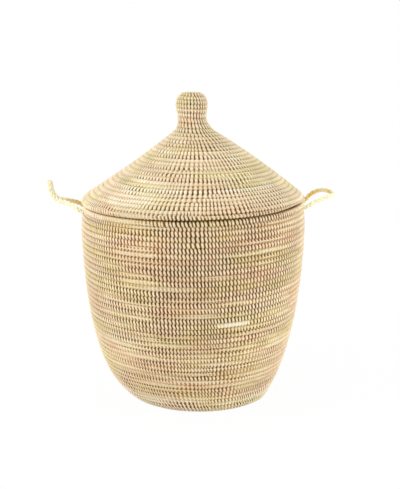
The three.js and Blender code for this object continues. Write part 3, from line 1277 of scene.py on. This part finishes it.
@dataclass(frozen=True)
class Finish:
    """What every finish has: a name, its gloss, and its relief with a depth in millimetres."""

    name: str
    roughness: float = 0.5
    # Typical of plant fibre and of polyethylene.
    ior: float = 1.5
    specular: float = 0.5
    relief: float = 0.5
    relief_depth: float = 0.4

    def start(self) -> tuple[Material, Tree]:
        """Start the material.

        Returns:
            The new material and its empty node tree.
        """
        material = bpy.data.materials.new(self.name)
        material.use_nodes = True
        material.node_tree.nodes.clear()
        return material, material.node_tree

    def close(self, tree: Tree, colour: Socket, height: Socket) -> None:
        """Give the material its surface.

        Args:
            tree: the material's node tree.
            colour: the surface's colour.
            height: the height of its relief.
        """
        depth = self.relief_depth * MM
        bump = add_node(tree, "Bump", {"Strength": self.relief, "Distance": depth, "Height": height})
        surface = {
            "Base Color": colour,
            "Roughness": self.roughness,
            "IOR": self.ior,
            "Specular IOR Level": self.specular,
            "Normal": bump,
        }
        shader = add_node(tree, "BsdfPrincipled", surface)
        add_node(tree, "OutputMaterial", {"Surface": shader})


@dataclass(frozen=True)
class DryGrass(Finish):
    """Dry grass, cut, dried and bundled by hand."""

    # To the eye: matt, long stalks side by side. Each stalk has a tone of its own, bundles are
    # paler, darker or redder in patches, and a grain runs along them. Real stalks are 1 to 2 mm
    # wide and their grain is finer than a hair. Both are drawn as coarse as they need to show.
    name: str = "dry_grass_bundle"
    roughness: float = 0.62
    specular: float = 0.2
    relief: float = 0.6
    relief_depth: float = 0.5
    stalk_length: float = 260.0
    stalk_width: float = 2.8
    grain_length: float = 30.0
    grain_width: float = 0.5
    bundle_length: float = 130.0
    bundle_width: float = 50.0
    patch_across: float = 110.0
    patch_up: float = 34.0
    # How far the tone differs from stalk to stalk, and from bundle to bundle.
    stalk_tones: float = 0.66
    bundle_tones: tuple[float, float] = (-0.6, 0.66)
    lightness: float = 0.0
    redness_start: float = 0.47
    redness_fade: float = 0.18
    olive: Stops = (
        (0.0, "634a20"), (0.28, "775729"), (0.5, "926b37"),
        (0.66, "b89153"), (0.8, "e8d09a"), (1.0, "f8ecc6"),
    )
    reddish: Stops = (
        (0.0, "6b421a"), (0.28, "854f22"), (0.5, "a3682f"),
        (0.66, "c89250"), (0.8, "eacf96"), (1.0, "f8e9c4"),
    )
    grain: Stops = ((0.32, "b4a48c"), (0.6, "ffffff"))
    laid_strip: str = "fffdf8"

    def material(self) -> Material:
        """Build the finish.

        Returns:
            The material.
        """
        material, tree = self.start()
        coil = add_node(tree, "UVMap", uv_map="coil")
        # How much paler the grass is: paler stalks, and painted light and shade in some stretches.
        pale = add_node(tree, "Attribute", attribute_name="paler_stalks").outputs["Fac"]
        red = add_node(tree, "Attribute", attribute_name="redder_stalks").outputs["Fac"]
        tone = self.tone(tree, coil, pale)
        where = add_node(tree, "TexCoord").outputs["Object"]
        scale = per_metre(self.patch_across, self.patch_across, self.patch_up)
        spread = add_node(tree, "Mapping", {"Vector": where, "Scale": scale})
        patch = add_node(tree, "TexNoise", {"Vector": spread, "Scale": 1.0, "Detail": 1.0})
        tinged = add_node(tree, "Math", {0: patch, 1: red}, operation="ADD")
        start = self.redness_start
        limits = {"From Min": start, "From Max": start + self.redness_fade}
        redness = add_node(tree, "MapRange", {"Value": tinged, **limits})
        olive = add_node(tree, "ValToRGB", {"Fac": tone}, self.olive)
        reddish = add_node(tree, "ValToRGB", {"Fac": tone}, self.reddish)
        mixed = add_node(tree, "Mix", {0: redness, 6: olive, 7: reddish}, data_type="RGBA")
        # Past full paleness, a length of the white strip is laid along the bundle.
        laid = add_node(tree, "MapRange", {"Value": pale, "From Min": 1.0, "From Max": 1.2})
        white = {0: laid, 6: mixed.outputs[2], 7: linear(self.laid_strip)}
        mixed = add_node(tree, "Mix", white, data_type="RGBA")
        scale = per_metre(self.grain_length, self.grain_width)
        fine = add_node(tree, "Mapping", {"Vector": coil, "Scale": scale})
        grain = add_node(tree, "TexNoise", {"Vector": fine, "Scale": 1.0, "Detail": 2.0})
        shade = add_node(tree, "ValToRGB", {"Fac": grain}, self.grain)
        shaded = {0: 1.0, 6: mixed.outputs[2], 7: shade}
        grained = add_node(tree, "Mix", shaded, data_type="RGBA", blend_type="MULTIPLY")
        self.close(tree, grained.outputs[2], grain.outputs["Fac"])
        return material

    def tone(self, tree: Tree, coil: Node, pale: Socket) -> Node:
        """Add the nodes that give each stalk its tone, from dark to pale.

        Args:
            tree: the material's node tree.
            coil: the map along and round the coil.
            pale: how much paler the grass is at each place, from paler stalks and from painted light
                and shade.

        Returns:
            The node that gives the tone, from 0 to 1.
        """
        scale = per_metre(self.stalk_length, self.stalk_width)
        long = add_node(tree, "Mapping", {"Vector": coil, "Scale": scale})
        stalks = add_node(tree, "TexVoronoi", {"Vector": long, "Scale": 1.0}, voronoi_dimensions="2D")
        own = add_node(tree, "SeparateColor", {"Color": stalks.outputs["Color"]})
        scale = per_metre(self.bundle_length, self.bundle_width)
        broad = add_node(tree, "Mapping", {"Vector": coil, "Scale": scale})
        bundle = add_node(tree, "TexNoise", {"Vector": broad, "Scale": 1.0, "Detail": 1.5})
        low, high = (self.lightness + tone for tone in self.bundle_tones)
        limits = {"From Min": 0.3, "From Max": 0.7, "To Min": low, "To Max": high}
        shared = add_node(tree, "MapRange", {"Value": bundle, **limits})
        parts = {0: own, 1: self.stalk_tones, 2: shared}
        summed = add_node(tree, "Math", parts, operation="MULTIPLY_ADD")
        return add_node(tree, "Math", {0: summed, 1: pale}, operation="ADD", use_clamp=True)


@dataclass(frozen=True)
class PlasticStrip(Finish):
    """Polyethylene strip, slit from blown sheet and pulled tight round the coil."""

    # To the eye: satin and cream, with some lengths paler, yellower or pinker than others. Fine
    # creases run along it, 0.8 mm wide, which is coarser than the real ones so that they show.
    # Where it goes down between two rows, shade is painted into its colour.
    name: str = "cream_polyethylene_strip"
    roughness: float = 0.4
    relief: float = 0.25
    relief_depth: float = 0.2
    crease_width: float = 0.8
    crease_length: float = 9.0
    patch_across: float = 120.0
    patch_up: float = 26.0
    tones: Stops = ((0.0, "e4d1b2"), (0.35, "ecdcbf"), (0.7, "f3e5c8"), (1.0, "fbf4e2"))
    tints: Stops = ((0.38, "fff3e8"), (0.5, "fffaf1"), (0.62, "fbf8de"))
    # The colour of the painted shade where a strip goes down between two rows.
    shaded: str = "bca279"

    def material(self) -> Material:
        """Build the finish.

        Returns:
            The material.
        """
        material, tree = self.start()
        tone = add_node(tree, "Attribute", attribute_name="stitch_tone").outputs["Fac"]
        painted_groove_shade = add_node(tree, "Attribute", attribute_name="painted_groove_shade").outputs["Fac"]
        colour = add_node(tree, "ValToRGB", {"Fac": tone}, self.tones)
        where = add_node(tree, "TexCoord").outputs["Object"]
        scale = per_metre(self.patch_across, self.patch_across, self.patch_up)
        spread = add_node(tree, "Mapping", {"Vector": where, "Scale": scale})
        patch = add_node(tree, "TexNoise", {"Vector": spread, "Scale": 1.0, "Detail": 1.0})
        tint = add_node(tree, "ValToRGB", {"Fac": patch}, self.tints)
        product = {"data_type": "RGBA", "blend_type": "MULTIPLY"}
        tinted = add_node(tree, "Mix", {0: 1.0, 6: colour, 7: tint}, **product)
        # Painted shade: darker towards the shaded colour where the strip goes down between two rows.
        down = {0: painted_groove_shade, 6: tinted.outputs[2], 7: linear(self.shaded)}
        shaded = add_node(tree, "Mix", down, **product)
        strip = add_node(tree, "UVMap", uv_map="strip")
        scale = per_metre(self.crease_width, self.crease_length)
        fine = add_node(tree, "Mapping", {"Vector": strip, "Scale": scale})
        creases = add_node(tree, "TexNoise", {"Vector": fine, "Scale": 1.0, "Detail": 1.0})
        self.close(tree, shaded.outputs[2], creases.outputs["Fac"])
        return material


@dataclass(frozen=True)
class PalmLeaf(Finish):
    """Palm leaf, dried, split and plaited by hand."""

    # To the eye: pale yellow with a soft sheen, ribbed along each strand, and golden where years of
    # sun have yellowed it; near each loop's tip the golden is painted shade. The ribs are drawn 0.9
    # mm wide, coarser than the real ones, so that they show.
    name: str = "dried_palm_leaf"
    rib_width: float = 0.9
    rib_length: float = 24.0
    pale: Stops = ((0.3, "e2d8a4"), (0.5, "f9f4ce"), (0.7, "fefce8"))
    aged_and_tip_shade: Stops = ((0.3, "bd9236"), (0.5, "f0c85e"), (0.7, "fde396"))

    def material(self) -> Material:
        """Build the finish.

        Returns:
            The material.
        """
        material, tree = self.start()
        strand = add_node(tree, "UVMap", uv_map="strand")
        golden = add_node(tree, "Attribute", attribute_name="golden").outputs["Fac"]
        scale = per_metre(self.rib_length, self.rib_width)
        fine = add_node(tree, "Mapping", {"Vector": strand, "Scale": scale})
        ribs = add_node(tree, "TexNoise", {"Vector": fine, "Scale": 1.0, "Detail": 2.0})
        pale = add_node(tree, "ValToRGB", {"Fac": ribs}, self.pale)
        # The golden of the leaf: yellowed with age, and near each loop's tip painted shade.
        aged_and_tip_shade = add_node(tree, "ValToRGB", {"Fac": ribs}, self.aged_and_tip_shade)
        mixed = add_node(tree, "Mix", {0: golden, 6: pale, 7: aged_and_tip_shade}, data_type="RGBA")
        self.close(tree, mixed.outputs[2], ribs.outputs["Fac"])
        return material


# Sub-assemblies


def finish_piece(piece: Piece, slot: Slot, body: Body, *nodes: str) -> None:
    """Put a piece in the place of its CAD nodes and on its body.

    Args:
        piece: the piece.
        slot: its material slot; not used.
        body: the body that it rides on.
        nodes: the CAD nodes that it stands for.
    """
    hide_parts(*nodes)
    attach(piece, body.value)
    log.info("%s rides %s for %s", piece.name, body.value, ", ".join(nodes))


def body_spacing(radius: Array) -> Array:
    """Return the stitch spacing of the body at each radius."""
    return np.interp(radius, [3, 30, 100, 150, 183, 204, 212], [4.6, 6, 6.4, 6.2, 6.1, 6.7, 6.9])


def lid_spacing(radius: Array) -> Array:
    """Return the stitch spacing of the lid at each radius, closer towards the knob."""
    return np.interp(radius, [3, 27, 45, 80, 200], [4.4, 5.7, 6.4, 7.0, 7.2])


def stretches(*rows: Sequence[float]) -> tuple[Stretch, ...]:
    """Return stretches, each from its numbers."""
    return tuple(Stretch(*numbers) for numbers in rows)


# What stands out in the coil, each as first row, last row, start, end, how much paler, how much
# redder, and the fade. In the wall: pale straw, dark and red bundles, and painted light and shade:
# lighter towards the foot, darker round the left side, and darker in front under the lid's edge,
# where dark stalks and painted shade lie together.
WALL_STRETCHES = stretches(
    (51, 51, -34, -9, 0.35), (49, 49, 44, 70, 0.4), (46, 46, -44, -16, 0.35), (40, 40, -38, 3, 0.5),
    (37, 39, 50, 90, 0.3), (34, 34, -64, -20, 0.25), (34, 34, 30, 90, 0.35),
    (32, 37, -90, -60, 0.3), (28, 28, -50, -21, 0.35), (27, 29, 44, 90, 0.45),
    (24, 24, -28, 8, 0.4, 0.1), (43, 50, -8, 36, -0.2), (45, 45, -8, 4, -0.2, 0.1),
    (41, 41, -12, 3, -0.15, 0.25), (38, 39, -22, 8, -0.15), (30, 30, -22, 24, -0.3),
    (30, 30, 26, 38, -0.3, 0.2), (25, 25, -42, -14, -0.2, 0.1), (18, 18, -20, 20, -0.2, 0.2),
    (44, 49, -20, -6, 0, 0.12), (19, 25, 24, 70, 0.1, 0.12), (20, 25, -60, -30, 0.1, 0.12),
    (31, 52, -200, 200, -0.08), (31, 52, -58, -16, 0.16, 0, 8), (31, 52, 18, 66, 0.14, 0, 8),
    (41, 52, -42, -14, 0.12, 0, 6), (31, 52, -130, -50, -0.2, 0, 8), (14, 27, 16, 48, 0.14, 0, 6),
    (45, 48, -32, -8, 0, 0.16), (41, 43, -36, -10, 0, 0.16), (36, 38, -24, 6, 0, 0.14),
    (0, 27, -200, 200, 0, 0.14), (14, 21, -85, -25, -0.12, 0.1, 10), (11, 16, -200, 200, 0, 0.12),
    (0, 30, -200, 200, 0.26),
)
RIM_STRETCHES = stretches(
    (-1, 0, -110, -28, 0.3),
    (-1, 0, -20, -10, 0.1, 0.2),
    (-1, 0, -10, 28, -0.4),
)
# The one white length of strip, which is laid along the bundle and sewn with the same strip.
WHITE_STRIP = (33, 33, 11.5, 31.5, 1.3)
# Strips, as painted light and shade: darker at the top, paler at the foot, darker in the front, and
# darker at the two sides.
WALL_STRIPS = stretches(
    WHITE_STRIP,
    (40, 53, -60, 70, -0.3, 0, 25),
    (11, 17, -200, 200, 0.55),
    (27, 39, -28, 28, -0.25, 0, 14),
    (28, 53, -130, -50, -0.4, 0, 8),
    (28, 53, 52, 130, -0.3, 0, 8),
)
# In the lid: redder bundles, and painted light and shade: paler on the left with a painted highlight,
# darker on the right and on the knob's right, and darker at the two sides.
LID_STRETCHES = stretches(
    (2, 9, -90, -14, 0.2, 0, 20),
    (12, 13, -80, -34, -0.1, 0.2),
    (16, 18, -60, -34, 0, 0.2),
    (3, 22, 25, 100, -0.25, 0, 15),
    (3, 9, -38, -16, 0.12, 0, 6),
    (21, 45, 0, 120, -0.3, 0, 20),
    (2, 24, -130, -50, -0.2, 0, 8),
    (2, 24, 52, 130, -0.1, 0, 8),
)
# The lid's strips: painted light paler on the left, painted shade darker at the two sides and on the
# knob's right, and all darker from the upper cone to the knob.
LID_STRIPS = stretches(
    (2, 9, -56, -14, 0.35, 0, 12),
    (2, 24, -130, -50, -0.3, 0, 8),
    (2, 24, 52, 130, -0.3, 0, 8),
    (17, 45, -200, 200, -0.2),
    (24, 45, 5, 120, -0.35, 0, 20),
)


@dataclass
class LevelRow:
    """A level row of coil, bound and sewn by itself."""

    name: str
    node: str
    run: CoilRun
    grass: Material
    strip: Material
    body: Body
    slot: Slot = Slot.STITCHED
    stretches: Sequence[Stretch] = ()
    bite: float = 0.2
    reach: float = 0.3

    def build(self, seed: int) -> None:
        """Build the row's grass and its stitches.

        Args:
            seed: the seed of the grass, one less than that of the stitches.
        """
        rows = GrassRows(self.run, self.stretches)
        core = rows.build(f"{self.name}_grass", self.grass, seed)
        finish_piece(core, self.slot, self.body, self.node)
        stitches = StripStitches(self.run, body_spacing, bite=self.bite, reach=self.reach)
        (sewn,) = stitches.build([f"{self.name}_stitches"], self.strip, seed + 1)
        finish_piece(sewn, self.slot, self.body, self.node)


@dataclass
class BasketBody:
    """The floor, the wall, the rim row and the collar."""

    grass: Material
    rim_grass: Material
    strip: Material
    # The collar's strip is dark brown as painted shade for the slit under the lid's edge.
    collar_strip: Material
    # In turns: where the stitches start, how much sooner the grass does, so that the middle is
    # closed, and how far the spiral runs on under the rim row.
    first_turn: float = 0.36
    centre_fill: float = 0.8
    run_out: float = 0.32
    # Where the stitches of the wall are cut into pieces, as shares of its rows.
    wall_cuts: tuple[float, ...] = (0.0, 0.3, 0.54, 0.77)
    rim_slit: float = 0.5
    rim_bite: float = 0.7
    rim_reach: float = 0.6

    def build(self) -> None:
        """Build every piece of the body."""
        outline = SHAPE.body_outline()
        rim_start = outline.along_at_height(SHAPE.body_height - SHAPE.rim_row_height)
        pitch = SHAPE.coil_pitch
        base_end = SHAPE.base_disc_radius / pitch
        last = rim_start / pitch + self.run_out
        base = (self.first_turn - self.centre_fill, base_end)
        spans = ((self.first_turn, last), base, (base_end, last))
        whole, base, wall = (
            CoilRun(outline, start, end, 0, rim_start, [(0, pitch)]) for start, end in spans
        )
        for name, run, stretches, seed in (
            ("base", base, WALL_STRETCHES, 11),
            ("wall", wall, (*WALL_STRETCHES, Stretch(*WHITE_STRIP)), 12),
        ):
            piece = GrassRows(run, stretches).build(f"{name}_grass", self.grass, seed)
            finish_piece(piece, Slot.STITCHED, Body.BASKET, f"{name}_coil")
        cuts = [base_end + share * (last - base_end) for share in self.wall_cuts]
        names = [f"wall_stitches_{number + 1}" for number in range(len(cuts))]
        stitches = StripStitches(whole, body_spacing, WALL_STRIPS)
        pieces = stitches.build(["base_stitches", *names], self.strip, seed=13, cuts=cuts)
        for piece, node in zip(pieces, ["base_coil"] + ["wall_coil"] * len(cuts)):
            finish_piece(piece, Slot.STITCHED, Body.BASKET, node)
        self.build_rim(outline, rim_start)
        self.build_collar()

    def build_rim(self, outline: Outline, rim_start: float) -> None:
        """Build the level, paler row that finishes the wall.

        Args:
            outline: the body's outline.
            rim_start: the length along it at which the rim row starts.
        """
        top = outline.length - self.rim_slit
        marks = [(0, outline.length - rim_start)]
        run = CoilRun(outline, 0, 1, rim_start, top, marks, level=True)
        # The rim's one row fills the room that the spiral leaves.
        run.table = (np.array([0.0, 1.0]), np.array([rim_start, outline.length]))
        finishes = (self.rim_grass, self.strip)
        row = LevelRow("rim", "rim_coil", run, *finishes, Body.BASKET, Slot.RIM, RIM_STRETCHES)
        row.bite, row.reach = self.rim_bite, self.rim_reach
        row.build(seed=21)

    def build_collar(self) -> None:
        """Build the narrow row inside the rim that the lid drops over."""
        outline = SHAPE.collar_outline()
        height = outline.length
        run = CoilRun(outline, 0, 1, 0, height, [(0, height)], level=True)
        strip = self.collar_strip
        LevelRow("collar", "collar_coil", run, self.grass, strip, Body.BASKET).build(seed=31)


@dataclass
class BasketLid:
    """The lid's edge row, its shoulder, its cone and its knob."""

    grass: Material
    strip: Material
    # How far from the middle of the knob's top the stitches end.
    top_gap: float = 3.6
    # In turns: where the spiral starts, where its shoulder row ends, and how much further than the
    # stitches the knob's grass goes, so that its middle is closed.
    first_turn: float = 0.62
    lip_turn: float = 1.99
    centre_fill: float = 0.8
    neck_fade: float = 15.0
    edge_slit: float = 1.3
    edge_bite: float = -0.2
    strip_width: float = 4.45
    cover: float = 0.65
    slant: float = 2.1
    # Where the edge row stands off the rim: how far, at how many degrees and over how many.
    lifted: float = 4.2
    lifted_at: float = 64.0
    lifted_width: float = 15.0

    def edge_lift(self, turns: Array) -> Array:
        """Return how much higher the edge row's underside lies, where it stands off the rim."""
        degrees = 270 - turns * 360
        return self.lifted * np.exp(-(((degrees - self.lifted_at) / self.lifted_width) ** 2))

    def build(self) -> None:
        """Build every piece of the lid."""
        outline, neck = SHAPE.lid_outline()
        pitch = SHAPE.coil_pitch
        edge = CoilRun(outline, 0, 1, self.edge_slit, pitch, [(0, pitch)], level=True)
        edge.lift_at = self.edge_lift
        row = LevelRow("lid_edge", "lid_lip_coil", edge, self.grass, self.strip, Body.LID)
        row.bite = self.edge_bite
        row.build(seed=41)
        marks = [(neck - self.neck_fade, pitch), (neck + self.neck_fade, SHAPE.knob_pitch)]
        whole = CoilRun(outline, 0, 1, pitch, outline.length, marks)
        turns, along = whole.table
        last = float(np.interp(outline.length - self.top_gap, along, turns))
        neck_turn = float(np.interp(neck, along, turns))
        ends = (self.first_turn, self.lip_turn, neck_turn, last + self.centre_fill)
        names = ("lid_lip", "lid_cone", "knob")
        for number, name in enumerate(names):
            run = replace(whole, first=ends[number], last=ends[number + 1])
            rows = GrassRows(run, LID_STRETCHES)
            piece = rows.build(f"{name}_grass", self.grass, seed=43 + number)
            finish_piece(piece, Slot.STITCHED, Body.LID, f"{name}_coil")
        run = replace(whole, first=self.first_turn, last=last)
        look = {"strip_width": self.strip_width, "cover": self.cover, "slant": self.slant}
        stitches = StripStitches(run, lid_spacing, LID_STRIPS, from_top=True, **look)
        labels = [f"{name}_stitches" for name in names]
        pieces = stitches.build(labels, self.strip, seed=46, cuts=(self.lip_turn, neck_turn))
        for piece, name in zip(pieces, names):
            finish_piece(piece, Slot.STITCHED, Body.LID, f"{name}_coil")


@dataclass
class Handles:
    """The two plaited loops with their ends and knots."""

    leaf: Material
    # How far a loop's bend reaches from its hinge, inwards and outwards.
    blend_inside: float = 3.0
    blend_outside: float = 9.0

    def build(self) -> None:
        """Build both loops."""
        left = PlaitedLoop(
            side=-1,
            route=(
                (8, 5, 31), (18, 10, 24), (32, 14, 15), (47, 18, 10),
                (54, 24.5, 9), (58, 32, 8.5), (60, 42, 7.5),
            ),
            tip=(62, 53),
            lean=0,
            # Golden on the far arm, and a small golden spot at the tip as painted shade.
            golden=((0.86, 0.1, 0.62), (0.5, 0.04, 0.4)),
        )
        right = PlaitedLoop(
            side=1,
            route=((8, 6.4, 31), (17, 13.8, 29.5), (29, 18.9, 27), (41, 22, 22), (50, 22, 14)),
            tip=(57, 20.2),
            lean=4.8,
            # Golden on the far arm, and a small golden spot near the tip as painted shade.
            golden=((0.78, 0.11, 1.0), (0.57, 0.03, 0.8)),
        )
        for loop, body in ((left, Body.LEFT_HANDLE), (right, Body.RIGHT_HANDLE)):
            piece = loop.build(self.leaf)
            nodes = [f"{loop.label}_{part}" for part in ("handle_loop", "front_knot", "back_knot")]
            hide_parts(*nodes)
            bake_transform(piece)
            log.info("%s bends between basket and %s", piece.name, body.value)


# Studio


@dataclass(frozen=True)
class Studio:
    """A white sweep, soft lamps and the camera at the photograph's place."""

    image_width: int = 400
    image_height: int = 489
    focal_pixels: float = 984.7
    sensor: float = 36.0
    axis_pixel: float = 193.25
    pixels_per_mm: float = 0.5142
    target_height: float = 294.2
    distance: float = 1915.0
    elevation: float = math.radians(11.14)
    # The sweep in metres: its size, where it curves up, the curve's radius and the wall's height.
    floor_size: float = 12.0
    floor_height: float = -0.0004
    curve_start: float = 2.2
    curve_radius: float = 1.0
    wall_height: float = 5.0
    # The share of pure white that the camera sees in the paper. The rest is its own shade.
    paper_glow: float = 0.965
    paper: str = "f8f8f8"
    surround: float = 0.78
    # Each lamp's name, place and size in metres and power in watts. They face the basket's middle.
    lamps: tuple[tuple[str, tuple[float, float, float], float, float], ...] = (
        ("left_lamp", (-2.5, -0.9, 1.9), 1.6, 42),
        ("right_lamp", (2.6, -0.7, 0.5), 1.6, 33),
        ("top_lamp", (0.1, 0.3, 2.8), 2.0, 7),
    )
    middle_height: float = 0.28

    def build(self) -> None:
        """Build the floor, the world, the lamps and the camera."""
        self.add_floor()
        self.add_world()
        self.add_lamps()
        self.add_camera()

    def add_floor(self) -> None:
        """Add a floor that curves up behind, white to the camera but for the soft shadow."""
        half = self.floor_size / 2
        angle = np.linspace(0.1, math.pi / 2, 12)
        y = self.curve_start + self.curve_radius * np.sin(angle)
        z = self.curve_radius * (1 - np.cos(angle))
        y = np.concatenate([[-half, self.curve_start], y, y[-1:]])
        z = np.concatenate([[0, 0], z, [self.wall_height]]) + self.floor_height
        corners = np.stack([np.tile([-half, half], len(y)), np.repeat(y, 2), np.repeat(z, 2)], 1)
        quads = 2 * np.arange(len(y) - 1)[:, None] + np.array([0, 1, 3, 2])
        material, tree = Finish("white_paper_sweep").start()
        path = add_node(tree, "LightPath")
        seen = path.outputs["Is Camera Ray"]
        for ray in ("Is Glossy Ray", "Is Transmission Ray"):
            seen = add_node(tree, "Math", {0: seen, 1: path.outputs[ray]}, operation="MAXIMUM")
        share = add_node(tree, "Math", {0: seen, 1: self.paper_glow}, operation="MULTIPLY")
        paper = add_node(tree, "BsdfDiffuse", {"Color": linear(self.paper)})
        glow = add_node(tree, "Emission", {"Color": linear("ffffff"), "Strength": 1.0})
        mixed = add_node(tree, "MixShader", {0: share, 1: paper, 2: glow})
        add_node(tree, "OutputMaterial", {"Surface": mixed})
        floor = write_mesh("floor_sweep", corners, quads, material)

    def add_world(self) -> None:
        """Add an even white surround that is full white only where it is seen."""
        world = bpy.data.worlds.new("white_tent")
        bpy.context.scene.world = world
        world.use_nodes = True
        tree = world.node_tree
        tree.nodes.clear()
        seen = add_node(tree, "LightPath").outputs["Is Camera Ray"]
        limits = {"To Min": self.surround, "To Max": 1.0}
        strength = add_node(tree, "MapRange", {"Value": seen, **limits})
        ground = add_node(tree, "Background", {"Color": linear("ffffff"), "Strength": strength})
        add_node(tree, "OutputWorld", {"Surface": ground})

    def add_lamps(self) -> None:
        """Add the square lamps, which face the basket's middle."""
        for name, place, size, power in self.lamps:
            lamp = bpy.data.lights.new(name, "AREA")
            lamp.size = size
            lamp.energy = power
            holder = bpy.data.objects.new(name, lamp)
            holder.location = place
            aim = Vector((0, 0, self.middle_height)) - Vector(place)
            holder.rotation_euler = aim.to_track_quat("-Z", "Y").to_euler()
            bpy.context.scene.collection.objects.link(holder)

    def add_camera(self) -> None:
        """Add the camera, worked out from the outline of the basket in the photograph."""
        scene = bpy.context.scene
        camera = bpy.data.cameras.new("studio_camera")
        camera.sensor_width = self.sensor
        camera.lens = self.focal_pixels * self.sensor / self.image_height
        holder = bpy.data.objects.new("studio_camera", camera)
        shift = (self.image_width / 2 - self.axis_pixel) / self.pixels_per_mm
        target = Vector((shift, 0, self.target_height)) * MM
        back = Vector((0, -math.cos(self.elevation), math.sin(self.elevation)))
        holder.location = target + back * self.distance * MM
        holder.rotation_euler = (-back).to_track_quat("-Z", "Y").to_euler()
        scene.collection.objects.link(holder)
        scene.camera = holder
        scene.view_settings.view_transform = "Standard"


def main() -> None:
    """Build the basket and the studio."""
    strip = PlasticStrip().material()
    lid_strip = PlasticStrip(
        "lid_polyethylene_strip",
        tones=((0.0, "e2d5b7"), (0.35, "e9dbc0"), (0.7, "f2e6ce"), (1.0, "faf5e4")),
        # A lighter painted shade where the lid's strips go down between rows.
        shaded="e2d4b6",
    ).material()
    grass = DryGrass().material()
    rim_grass = DryGrass("rim_straw_bundle", lightness=0.1).material()
    lid_grass = DryGrass("lid_grass_bundle", lightness=0.2, redness_start=0.53).material()
    # The collar's strips are painted dark brown: painted shade for the slit under the lid's edge.
    collar_strip = PlasticStrip(
        "collar_painted_shade_strip",
        tones=((0.0, "6a4d28"), (0.35, "785930"), (0.7, "866539"), (1.0, "927042")),
    ).material()
    BasketBody(grass, rim_grass, strip, collar_strip).build()
    BasketLid(lid_grass, lid_strip).build()
    Handles(PalmLeaf().material()).build()
    Studio().build()


if __name__ == "__main__":
    main()
